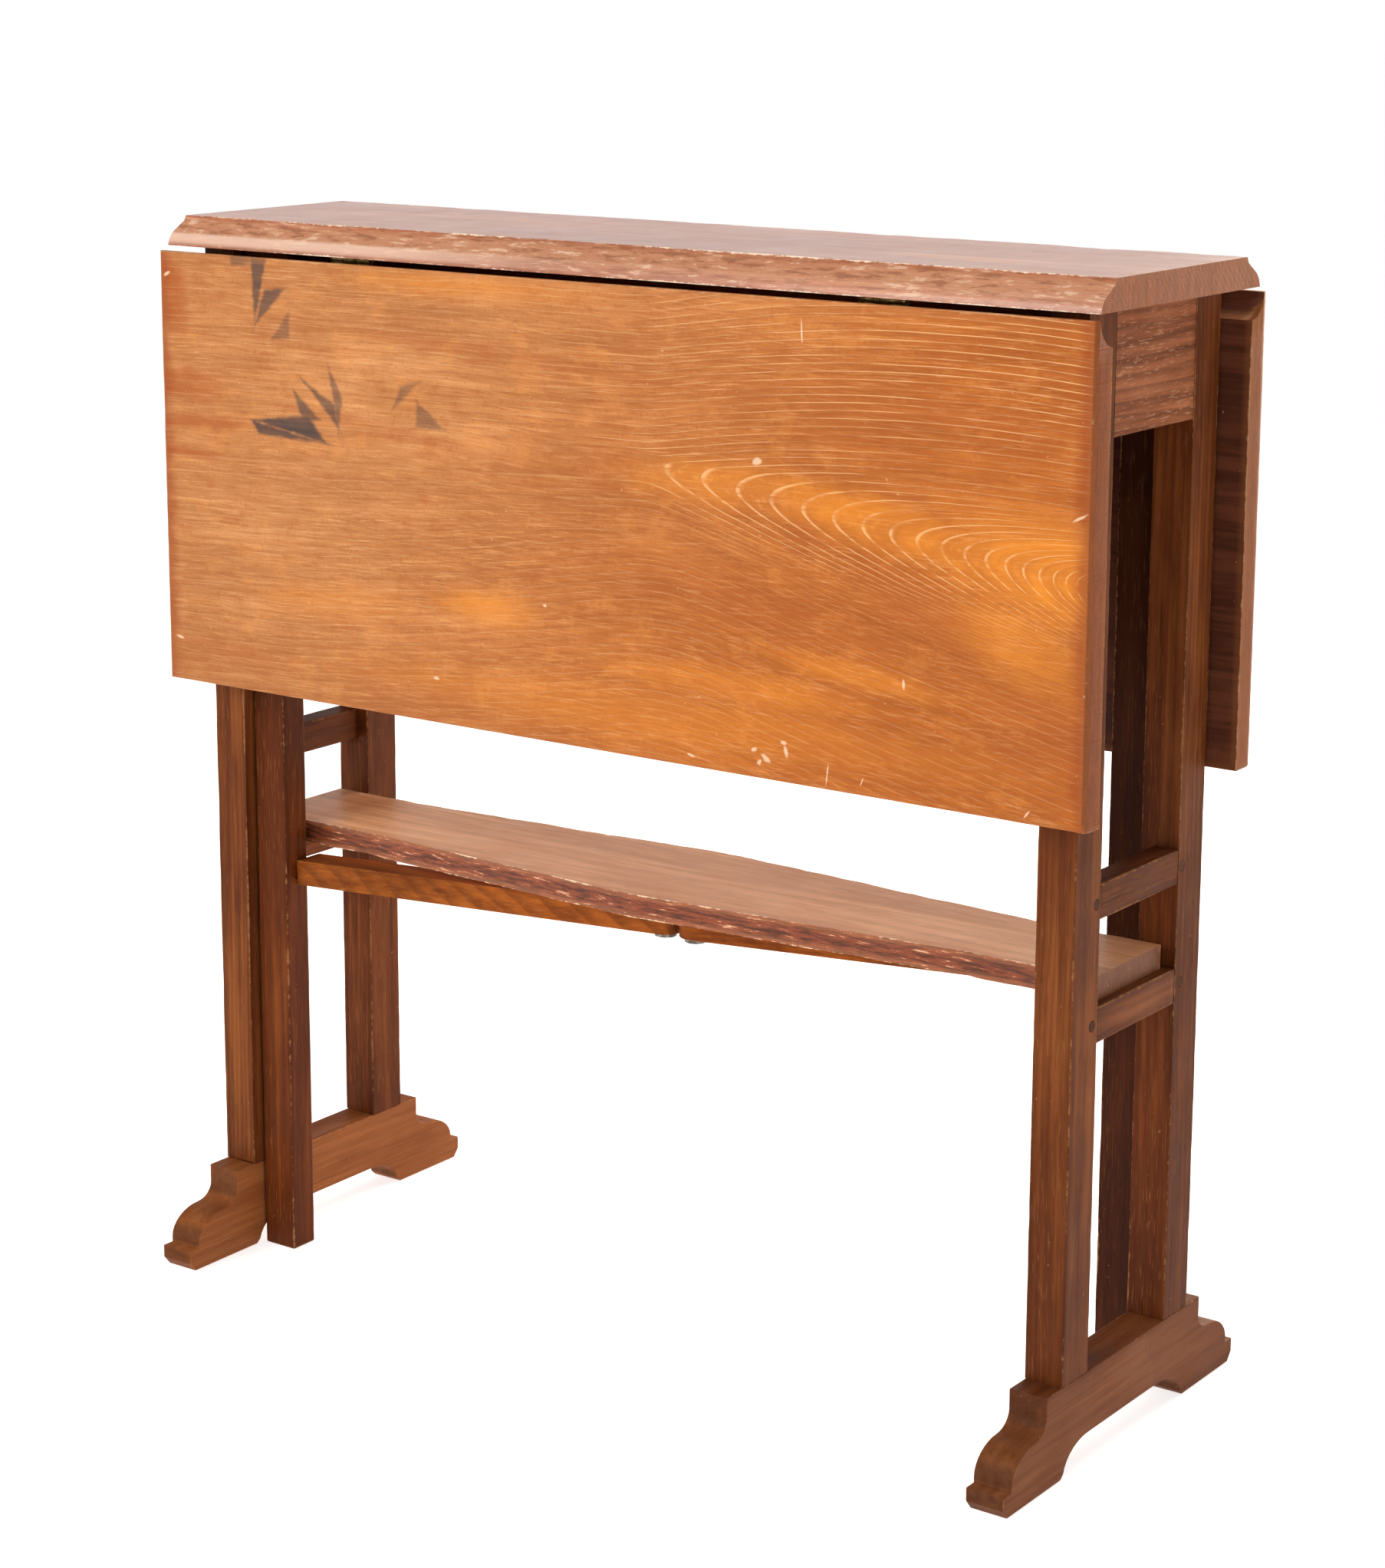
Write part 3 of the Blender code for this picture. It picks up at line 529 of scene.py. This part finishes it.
def dress_front_leaf(g, colour, values, facing, line, streak, blotch):
    """The front leaf's own marks: drifting tone, pale ring lines, ink-dark wedges and nicks."""
    x, _, z = values
    low_right = g.math("MULTIPLY_ADD", z, -0.8, g.add(x, 0.48))
    colour = g.mix(g.ramp(low_right, -0.20, 0.30), colour, LEAF_RUDDY, "MULTIPLY")

    # fine streaks, specks and clouds
    drift = g.times(g.math("SUBTRACT", g.noise_face(x, z, 7.0, 16.0, 5.5), 0.5), 0.016)
    mottle = g.noise_face(x, g.add(z, drift), 42.0, 850.0, 2.2, 3.0, 0.66)
    specks = g.noise_face(x, z, 420.0, 420.0, 8.1, 2.0, 0.7)
    cloud = g.noise_face(x, z, 36.0, 50.0, 6.4, 5.0, 0.72)
    colour = g.overlay(
        colour,
        (mottle, 0.53, 0.68, 0.46, srgb(146, 76, 32)),
        (mottle, 0.46, 0.33, 0.20, srgb(238, 180, 122)),
        (specks, 0.56, 0.68, 0.30, srgb(140, 72, 30)),
        (cloud, 0.52, 0.66, 0.34, srgb(158, 80, 30)),
        (cloud, 0.47, 0.34, 0.15, srgb(234, 152, 74)),
    )

    # darker and brighter places
    uneven = g.add(g.times(streak, 0.9), g.times(blotch, 0.5))
    ragged = g.noise_face(x, z, 60.0, 90.0, 2.7, 3.0, 0.6)
    shade = spots(g, values, LEAF_SHADE, ragged, 1.0, 0.6)
    shade = g.times(shade, g.ramp(uneven, 0.45, 0.85, 0.35, 1.0))
    colour = g.mix(shade, colour, srgb(156, 78, 30))
    glow = spots(g, values, LEAF_GLOW, ragged, 0.9, 0.7)
    glow = g.times(glow, g.ramp(uneven, 0.45, 0.85, 1.0, 0.4))
    colour = g.mix(glow, colour, srgb(232, 142, 40))

    # pale ring lines, strong at the upper right and round the arches
    high_right = g.times(g.ramp(x, -0.10, 0.30), g.ramp(z, 0.585, 0.640))
    near = spot(g, values, (0.230, 0.558), (0.20, 0.036), -0.13, ragged, 0.3, 0.4)
    strong = g.math("MAXIMUM", high_right, g.times(near, 0.85))
    broken = g.ramp(g.noise_face(x, z, 18.0, 260.0, 1.3, 2.0, 0.6), 0.36, 0.60)
    amount = g.times(g.add(0.18, g.times(strong, 0.50)), g.add(0.20, g.times(broken, 0.80)))
    colour = g.mix(g.times(line, amount), colour, PALE_LINE)

    # a dark rim at both ends
    from_end = g.math("SUBTRACT", LEAF_HALF, g.math("ABSOLUTE", x))
    wander = g.times(g.noise_face(x, z, 30.0, 60.0, 4.1, 3.0, 0.6), 0.016)
    rim = g.ramp(g.math("SUBTRACT", from_end, wander), 0.004, -0.009)
    colour = g.mix(g.times(rim, 0.70), colour, srgb(140, 60, 20))

    # stains and nicks
    bitten = g.noise_face(x, z, 120.0, 240.0, 1.7, 3.0, 0.6)
    stain = None
    for corners, strength in LEAF_STAINS:
        mark = g.times(wedge(g, values, corners, bitten), strength)
        stain = mark if stain is None else g.math("MAXIMUM", stain, mark)
    stain = g.times(stain, g.ramp(uneven, 0.4, 0.9, 1.0, 0.80))
    colour = g.mix(stain, colour, INK)
    nicks = spots(g, values, [(*row, NICK_STRENGTH) for row in LEAF_NICKS], bitten, 2.2, 0.4)
    colour = g.mix(nicks, colour, PALE_NICK)
    # and the painted shade on the front leaf's inner face
    return paint_leaf_inner_shade(-1.0)(g, colour, values, facing, line, streak, blotch)


def dress_top(g, colour, values, facing, line, streak, blotch):
    """The fixed top's slopes, bleached by wear, and a painted highlight along the lower half of its nose."""
    slope = g.times(g.ramp(facing[2], 0.5, 0.8), g.ramp(facing[2], 0.96, 0.90))
    amount = g.times(slope, g.ramp(g.add(streak, blotch), 0.75, 1.25, 0.75, 0.35))
    colour = g.mix(amount, colour, srgb(204, 146, 108))
    rough = g.noise_face(values[0], values[2], 55.0, 420.0, 1.7, 3.0, 0.7)
    show = g.ramp(facing[2], 0.97, 0.93)
    colour = g.mix(g.times(show, g.ramp(rough, 0.52, 0.64, 0.0, 0.60)), colour, srgb(128, 72, 46))
    colour = g.mix(g.times(show, g.ramp(rough, 0.44, 0.34, 0.0, 0.55)), colour, srgb(240, 206, 176))
    # painted highlight: a pale cream band along the lower half of the nose, strongest towards the left end
    painted_nose_highlight = g.times(g.ramp(values[2], 0.7005, 0.6985), g.ramp(values[2], 0.6915, 0.6945))
    painted_nose_highlight = g.times(painted_nose_highlight, g.times(show, g.ramp(values[0], 0.02, -0.20, 0.15, 0.75)))
    return g.mix(painted_nose_highlight, colour, srgb(228, 192, 170))


def dress_shelf(g, colour, values, facing, line, streak, blotch):
    """The shelf's edges, darker than its top."""
    edge = g.ramp(g.math("ABSOLUTE", facing[2]), 0.75, 0.35)
    grit = g.noise_face(values[0], values[2], 60.0, 620.0, 3.3, 3.0, 0.7)
    shade = g.mix(g.ramp(grit, 0.38, 0.56), srgb(66, 22, 8), srgb(128, 56, 28))
    shade = g.mix(g.ramp(grit, 0.60, 0.68), shade, srgb(216, 160, 122))
    return g.mix(g.times(edge, 0.95), colour, shade)


def top_nearness(g, point, low, high):
    """Distance to the fixed top's upper arris or its lower edge, whichever is nearer. Near the lower edge the
    pale rubbed line is partly wear and partly painted highlight.
    """
    _, y, z = g.split(point)
    y = g.math("ABSOLUTE", y)

    def away(edge_y, edge_z):
        across = g.math("SUBTRACT", y, edge_y)
        up = g.math("SUBTRACT", z, edge_z)
        return g.math("SQRT", g.add(g.times(across, across), g.times(up, up)))
    # the lower edge's term paints a pale line that is partly wear and partly painted highlight
    return g.math("MINIMUM", away(TOP_FLAT_Y, high.z), g.add(away(high.y, low.z), 0.0002))


def shelf_nearness(g, point, low, high):
    """Distance to the shelf's long arrises, which run in from its middle to its necks."""
    x, y, z = g.split(point)
    way = g.math("MINIMUM", g.math("DIVIDE", g.math("ABSOLUTE", x), SHELF_NECK_X), 1.0)
    half = g.math("MULTIPLY_ADD", way, SHELF_NECK_Y - high.y, high.y)
    side = g.math("SUBTRACT", half, g.math("ABSOLUTE", y))
    level = g.math("MINIMUM", g.math("SUBTRACT", high.z, z), g.math("SUBTRACT", z, low.z))
    return g.math("MAXIMUM", side, g.times(level, 1.2))


FRAME = {
    "dark": srgb(66, 28, 9), "base": srgb(108, 54, 21), "light": srgb(138, 78, 36),
    "ring": srgb(74, 34, 12), "pore": srgb(150, 96, 56), "end": srgb(66, 36, 20),
    "rubbed_and_highlight": srgb(180, 124, 80), "rub": 0.40, "pore_amount": 0.30, "rough": 0.42,
    "specular": 0.08,
}
SPECS = {
    "top": {
        "dark": srgb(150, 86, 56), "base": srgb(190, 120, 84), "light": srgb(212, 146, 110),
        "ring": srgb(148, 86, 56), "pore": srgb(224, 178, 144), "end": srgb(150, 82, 38),
        "rubbed_and_highlight": srgb(244, 220, 192), "rub": 0.85, "grain": "X", "coat": 0.45, "rough": 0.26,
        "specular": 0.2, "coat_rough": 0.22, "end_amount": 1.0, "dress": (dress_top,),
    },
    "leaf": {
        "dark": srgb(158, 98, 52), "base": srgb(188, 124, 72), "light": srgb(206, 146, 92),
        "ring": srgb(158, 96, 50), "pore": srgb(230, 178, 126), "end": srgb(134, 68, 26),
        "rubbed_and_highlight": srgb(222, 178, 132), "rub": 0.30, "grain": "X", "ring_depth": 0.34,
        "pore_amount": 0.26, "end_amount": 0.85, "rough": 0.40, "rings": 300.0, "tilt": 80.0,
        "specular": 0.15, "fleck": 0.35, "pore_rate": 26.0,
    },
    "shelf": {
        "dark": srgb(196, 130, 88), "base": srgb(234, 172, 126), "light": srgb(246, 194, 150),
        "ring": srgb(194, 130, 88), "pore": srgb(248, 210, 176), "end": srgb(120, 68, 38),
        "rubbed_and_highlight": srgb(246, 214, 180), "rub": 0.85, "grain": "X", "coat": 0.15, "rough": 0.36,
        "specular": 0.2, "end_amount": 1.0, "dress": (dress_shelf,),
    },
    "leg": dict(FRAME, grain="Z"),
    "rail": dict(FRAME, grain="Y", base=srgb(120, 64, 32), light=srgb(144, 86, 48)),
    "panel": dict(FRAME, grain="Y", base=srgb(170, 102, 64), light=srgb(196, 134, 96),
                  dark=srgb(104, 52, 26), pore=srgb(196, 144, 106), pore_amount=0.55, ring_depth=0.4,
                  pore_rate=130.0),
    # painted light: both feet are one wood, and the left foot is painted lighter than the right for the light
    # on its inner side
    "foot_right": dict(FRAME, grain="Y", base=srgb(122, 70, 38), light=srgb(136, 84, 50),
                       dark=srgb(92, 48, 24), ring_depth=0.12, rings=120.0, rub=0.5, pore_amount=0.15),
    "foot_left": dict(FRAME, grain="Y", base=srgb(160, 98, 54), light=srgb(178, 114, 66),
                      dark=srgb(128, 70, 34), ring_depth=0.12, rings=120.0, rub=0.5, pore_amount=0.15),
    "gate_front": dict(FRAME, grain="Z", base=srgb(98, 44, 13), light=srgb(128, 68, 26)),
    # painted shade: the back gate leg is the front one's wood painted darker, for the shade it stands in
    # inside the frame
    "gate_back": dict(FRAME, grain="Z", dark=srgb(44, 18, 6), base=srgb(66, 28, 10),
                      light=srgb(92, 44, 18), pore_amount=0.18),
    "arm": dict(FRAME, grain="X", dark=srgb(112, 54, 14), base=srgb(168, 92, 32), light=srgb(188, 114, 48)),
    "bearer": dict(FRAME, grain="X"),
    "peg": dict(FRAME, grain="X", base=srgb(84, 46, 26)),
}


# ---------------------------------------------------------------- worn meshes

def cad_shape(node):
    """A CAD node's mesh, welded, with its flat faces whole again."""
    shape = bmesh.new()
    shape.from_mesh(frame["nodes"][node].data)
    bmesh.ops.remove_doubles(shape, verts=shape.verts, dist=WELD)
    bmesh.ops.dissolve_limit(shape, angle_limit=FLAT_ANGLE, verts=shape.verts, edges=shape.edges)
    shape.normal_update()
    return shape


def on_plane(edge, axis, value):
    """True if an edge lies on an axis' plane."""
    return all(abs(vertex.co[axis] - value) < ON_PLANE for vertex in edge.verts)


def round_edges(shape, chosen, width):
    """Round over the chosen convex edges."""
    edges = [e for e in shape.edges if len(e.link_faces) == 2 and e.is_convex and chosen(e)]
    bmesh.ops.bevel(
        shape, geom=edges, offset=width, offset_type="OFFSET", segments=ROUND_SEGMENTS,
        profile=0.5, affect="EDGES", clamp_overlap=True,
    )


def cut_across(shape, axis, low, high, spacing, seed):
    """Cut a mesh into short bays along an axis, so that its edges can be worn unevenly."""
    direction = Vector([1.0 if i == axis else 0.0 for i in range(3)])
    count = int((high - low) / spacing)
    for i in range(1, count):
        wobble = noise.noise(Vector((i * 1.37, seed, 0.5))) * spacing * 0.3
        place = direction * (low + i * spacing + wobble)
        bmesh.ops.bisect_plane(
            shape, geom=list(shape.verts) + list(shape.edges) + list(shape.faces),
            dist=CUT_TOLERANCE, plane_co=place, plane_no=direction,
        )


def wear(shape, near, depth, seed, scale=70.0):
    """Sink the vertices near an arris by an uneven amount; near gives a weight and a way in."""
    for vertex in shape.verts:
        weight, way = near(vertex.co)
        if weight > 0:
            swell = noise.noise(vertex.co * scale + Vector((seed, seed * 0.7, 0.0))) * 0.5 + 0.5
            fine = noise.noise(vertex.co * scale * 4 + Vector((0.0, seed, seed))) * 0.5 + 0.5
            sink = depth * weight * (swell ** WEAR_POWER + FINE_WEAR * fine ** WEAR_POWER)
            vertex.co += way * sink


def make(node, shape, material):
    """Turn a worked mesh into the piece that stands for its CAD node."""
    mesh = bpy.data.meshes.new(node + "_wood")
    bmesh.ops.recalc_face_normals(shape, faces=shape.faces)
    shape.to_mesh(mesh)
    shape.free()
    mesh.shade_smooth()
    mesh.set_sharp_from_angle(angle=SHARP_ANGLE)
    piece = bpy.data.objects.new(node + "_wood", mesh)
    bpy.context.scene.collection.objects.link(piece)
    weighted = piece.modifiers.new("even_normals", "WEIGHTED_NORMAL")
    weighted.keep_sharp = True
    weighted.weight = 80
    mesh.materials.append(material)
    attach(piece, frame["nodes"][node]["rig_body"])
    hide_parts(node)


def box_wear(box, long_axis, reach):
    """Weights for wear along the four long arrises of a box, with the way in from each."""
    low, high = box
    across = [i for i in range(3) if i != long_axis]

    def near(point):
        way = Vector((0.0, 0.0, 0.0))
        gaps = []
        for i in across:
            from_low = point[i] - low[i]
            from_high = high[i] - point[i]
            gaps.append(min(from_low, from_high))
            way[i] = 1.0 if from_low < from_high else -1.0
        weight = max(0.0, 1.0 - max(gaps) / reach)
        return weight, way.normalized()
    return near


def stick(node, spec, long_axis, width, min_length, spacing=0.009, extra=None):
    """A straight square-section piece: its long arrises rounded and unevenly worn."""
    low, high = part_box(node)
    shape = cad_shape(node)

    def chosen(edge):
        return edge.calc_length() >= min_length or (extra is not None and extra(edge))
    round_edges(shape, chosen, width)
    cut_across(shape, long_axis, low[long_axis], high[long_axis], spacing, seed_of(node))
    near = box_wear((low, high), long_axis, width * STICK_WEAR_REACH)
    wear(shape, near, STICK_WEAR, seed_of(node))
    make(node, shape, wood(node, SPECS[spec], (low, high)))


def fixed_top():
    """The fixed top: rounded ends, a rubbed arris along both sides and uneven wear."""
    node = "fixed_top"
    low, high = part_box(node)
    shape = cad_shape(node)

    def chosen(edge):
        if on_plane(edge, 2, high.z):
            return True
        if on_plane(edge, 0, low.x) or on_plane(edge, 0, high.x):
            return edge.calc_length() > 0.002
        return on_plane(edge, 2, low.z) and abs(edge.verts[0].co.y) > 0.09
    round_edges(shape, chosen, ROUND["top"])
    cut_across(shape, 0, low.x, high.x, 0.0045, 2.0)

    def near(point):
        off = Vector((0.0, abs(point.y) - TOP_FLAT_Y, point.z - high.z)).length
        way = Vector((0.0, -1.0 if point.y > 0 else 1.0, -1.0)).normalized()
        return max(0.0, 1.0 - off / TOP_WEAR_REACH), way
    wear(shape, near, TOP_WEAR, 4.0, 60.0)
    make(node, shape, wood(node, SPECS["top"], (low, high), top_nearness))


def leaf(node):
    """A drop leaf: small rounds on its hard edges, eased show edges, and slight unevenness."""
    low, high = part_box(node)
    shape = cad_shape(node)
    sharp = radians(40)

    def chosen(edge):
        return edge.calc_length() > 0.02 and edge.calc_face_angle(0.0) > sharp
    round_edges(shape, chosen, ROUND["leaf"])
    cut_across(shape, 0, low.x, high.x, 0.006, seed_of(node))
    cut_across(shape, 2, low.z, LEAF_HOLLOW_Z, 0.006, seed_of(node))
    outer = low.y if node == "leaf_front" else high.y
    face = 1.0 if node == "leaf_front" else -1.0

    def near(point):
        from_face = abs(point.y - outer)
        from_edge = min(point.x - low.x, high.x - point.x, point.z - low.z)
        weight = max(0.0, 1.0 - from_face / LEAF_WEAR_IN) * max(0.0, 1.0 - from_edge / LEAF_WEAR_ALONG)
        return weight, Vector((0.0, face, 0.0))
    wear(shape, near, LEAF_WEAR, seed_of(node), 90.0)
    spec = dict(SPECS["leaf"], dress=(paint_leaf_inner_shade(-face),))
    if node == "leaf_front":
        spec["cathedral"] = True
        spec["dress"] = (dress_front_leaf,)
    make(node, shape, wood(node, spec, (low, high)))


def shelf():
    """The shelf, with chipped arrises all round."""
    node = "shelf"
    low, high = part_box(node)
    shape = cad_shape(node)

    def chosen(edge):
        flat = on_plane(edge, 2, low.z) or on_plane(edge, 2, high.z)
        return edge.calc_length() > 0.02 and (flat or edge.calc_length() < 0.1)
    round_edges(shape, chosen, ROUND["shelf"])
    cut_across(shape, 0, low.x, high.x, 0.0045, 7.0)

    def near(point):
        half = high.y - (high.y - SHELF_NECK_Y) * min(abs(point.x) / SHELF_NECK_X, 1.0)
        side = half - abs(point.y)
        level = min(point.z - low.z, high.z - point.z)
        weight = max(0.0, 1.0 - side / SHELF_WEAR_REACH) * max(0.0, 1.0 - level / SHELF_WEAR_REACH)
        up = -1.0 if high.z - point.z < point.z - low.z else 1.0
        return weight, Vector((0.0, -1.0 if point.y > 0 else 1.0, up)).normalized()
    wear(shape, near, SHELF_WEAR, 9.0, 55.0)
    make(node, shape, wood(node, SPECS["shelf"], (low, high), shelf_nearness))


def foot(node):
    """A foot: its sawn outline rounded over on both faces."""
    low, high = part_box(node)
    shape = cad_shape(node)

    def chosen(edge):
        return on_plane(edge, 0, low.x) or on_plane(edge, 0, high.x)
    round_edges(shape, chosen, ROUND["foot"])
    make(node, shape, wood(node, SPECS[node], (low, high)))


def paint(node, material):
    """Give a CAD node a material and leave its mesh alone."""
    materials = frame["nodes"][node].data.materials
    materials.clear()
    materials.append(material)


def build_wood():
    """Every wooden piece."""
    fixed_top()
    for side in ("front", "back"):
        leaf("leaf_" + side)
        leg = f"gate_{side}_leg"
        stick(leg, "gate_" + side, 2, 0.0013, 0.10, extra=lambda e: on_plane(e, 2, 0.0))
        for level in ("lower", "upper"):
            arm = f"gate_{side}_{level}_arm"
            low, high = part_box(arm)
            stick(arm, "arm", 0, 0.0009, 0.05, extra=lambda e, a=low.z, b=high.z: (
                e.calc_length() > 0.002 and (on_plane(e, 2, a) or on_plane(e, 2, b))))
    shelf()
    stick("top_bearer", "bearer", 0, 0.0010, 0.10, spacing=0.02)
    for end in ("left", "right"):
        foot("foot_" + end)
        stick("top_rail_" + end, "panel", 1, 0.0008, 0.08)
        stick("mid_rail_" + end, "rail", 1, 0.0009, 0.08)
        stick("shelf_rail_" + end, "rail", 1, 0.0009, 0.08)
        for side in ("front", "back"):
            stick(f"leg_{end}_{side}", "leg", 2, 0.0011, 0.10)
            for level in ("mid", "shelf"):
                name = f"peg_{level}_{end}_{side}"
                paint(name, wood(name, SPECS["peg"]))


# ---------------------------------------------------------------- metal

def metal(name, colour, tarnish, rough):
    """Dull old metal: tarnish in clouds, fine scratches and uneven gloss."""
    g = Graph(name)
    point, _ = g.place()
    x, y, z = g.split(point)
    cloud = g.noise_even((x, y, z), 180.0, 4.0, 0.6)
    scratch = g.noise(g.vector(g.times(x, 120.0), g.times(y, 2400.0), g.times(z, 2400.0)), 2.0, 0.6)
    amount = g.ramp(g.add(g.times(cloud, 0.8), g.times(scratch, 0.3)), 0.42, 0.72)
    g.put(g.shader.inputs["Base Color"], g.mix(amount, colour, tarnish))
    g.put(g.shader.inputs["Roughness"], g.add(rough, g.times(amount, 0.25)))
    g.put(g.shader.inputs["Normal"], g.bump(g.add(scratch, cloud), 0.15, 0.0001))
    g.shader.inputs["Metallic"].default_value = 1.0
    return g.material


def build_metal():
    """Hinge flaps, screws and pins keep their CAD shape and take aged metal."""
    brass = metal("aged_brass", srgb(190, 158, 98), srgb(96, 72, 42), 0.32)
    screw = metal("screw_brass", srgb(176, 146, 92), srgb(80, 60, 38), 0.36)
    steel = metal("dull_steel", srgb(150, 146, 140), srgb(78, 70, 64), 0.34)
    chosen = {"hinge_brass": brass, "screw_brass": screw, "pin_steel": steel}
    for name in frame["nodes"]:
        if SLOTS[name] in chosen:
            paint(name, chosen[SLOTS[name]])


# ---------------------------------------------------------------- stage

LIGHTS = (
    # name, place, aim, width, power, colour
    ("key", (-0.9, -2.6, 2.1), (0.0, 0.0, 0.4), 1.4, 56.0, (1.0, 0.97, 0.93)),
    ("side", (2.6, -0.9, 0.9), (0.0, 0.0, 0.3), 1.4, 3.0, (1.0, 0.88, 0.74)),
    ("behind", (0.1, 2.0, 0.9), (0.1, 0.0, 0.3), 1.2, 40.0, (1.0, 0.78, 0.56)),
    ("top", (0.3, 0.8, 2.8), (0.0, 0.0, 0.6), 1.8, 24.0, (1.0, 1.0, 1.0)),
)


def area_light(name, place, aim, size, power, colour):
    """A soft square light that looks at a point."""
    data = bpy.data.lights.new(name, "AREA")
    data.energy = power
    data.size = size
    data.color = colour
    light = bpy.data.objects.new(name, data)
    light.location = place
    light.rotation_mode = "QUATERNION"
    light.rotation_quaternion = (Vector(aim) - Vector(place)).to_track_quat("-Z", "Y")
    bpy.context.scene.collection.objects.link(light)


def build_world():
    """A studio that is white round the horizon and dim overhead."""
    world = bpy.data.worlds.new("studio")
    world.use_nodes = True
    tree = world.node_tree
    background = tree.nodes["Background"]
    place = tree.nodes.new("ShaderNodeTexCoord")
    split = tree.nodes.new("ShaderNodeSeparateXYZ")
    fall = tree.nodes.new("ShaderNodeMapRange")
    fall.interpolation_type = "SMOOTHSTEP"
    for name, value in (("From Min", 0.22), ("From Max", 0.62), ("To Min", 1.0), ("To Max", 0.22)):
        fall.inputs[name].default_value = value
    tree.links.new(place.outputs["Generated"], split.inputs[0])
    tree.links.new(split.outputs["Z"], fall.inputs["Value"])
    tree.links.new(fall.outputs[0], background.inputs["Strength"])
    background.inputs["Color"].default_value = WHITE
    bpy.context.scene.world = world


def build_stage():
    """A pale floor and soft lights."""
    bpy.ops.mesh.primitive_plane_add(size=FLOOR_SIZE, location=(0.0, 0.0, -FLOOR_DROP))
    floor = bpy.context.object
    floor.name = "floor"
    g = Graph("floor")
    g.shader.inputs["Base Color"].default_value = (0.72, 0.72, 0.72, 1.0)
    g.shader.inputs["Roughness"].default_value = 0.9
    g.shader.inputs["Specular IOR Level"].default_value = 0.1
    g.shader.inputs["Emission Color"].default_value = WHITE
    g.shader.inputs["Emission Strength"].default_value = FLOOR_GLOW
    floor.data.materials.append(g.material)
    for light in LIGHTS:
        area_light(*light)
    bpy.context.scene.view_settings.view_transform = "Standard"


def build_camera():
    """The camera, from a place, a direction round the table and a roll."""
    a, e, r = radians(CAMERA_AZIMUTH), radians(CAMERA_ELEVATION), radians(CAMERA_ROLL)
    back = Vector((sin(a) * cos(e), -cos(a) * cos(e), sin(e)))
    right = Vector((cos(a), sin(a), 0.0))
    up = back.cross(right)
    x_axis = right * cos(r) + up * sin(r)
    y_axis = up * cos(r) - right * sin(r)
    data = bpy.data.cameras.new("camera")
    data.sensor_width = CAMERA_SENSOR
    data.lens = CAMERA_LENS
    data.shift_x, data.shift_y = CAMERA_SHIFT
    camera = bpy.data.objects.new("camera", data)
    turned = Matrix((x_axis, y_axis, back)).transposed().to_4x4()
    camera.matrix_world = Matrix.Translation(CAMERA_PLACE) @ turned
    bpy.context.scene.collection.objects.link(camera)
    bpy.context.scene.camera = camera


build_camera()
build_world()
build_stage()
build_wood()
build_metal()
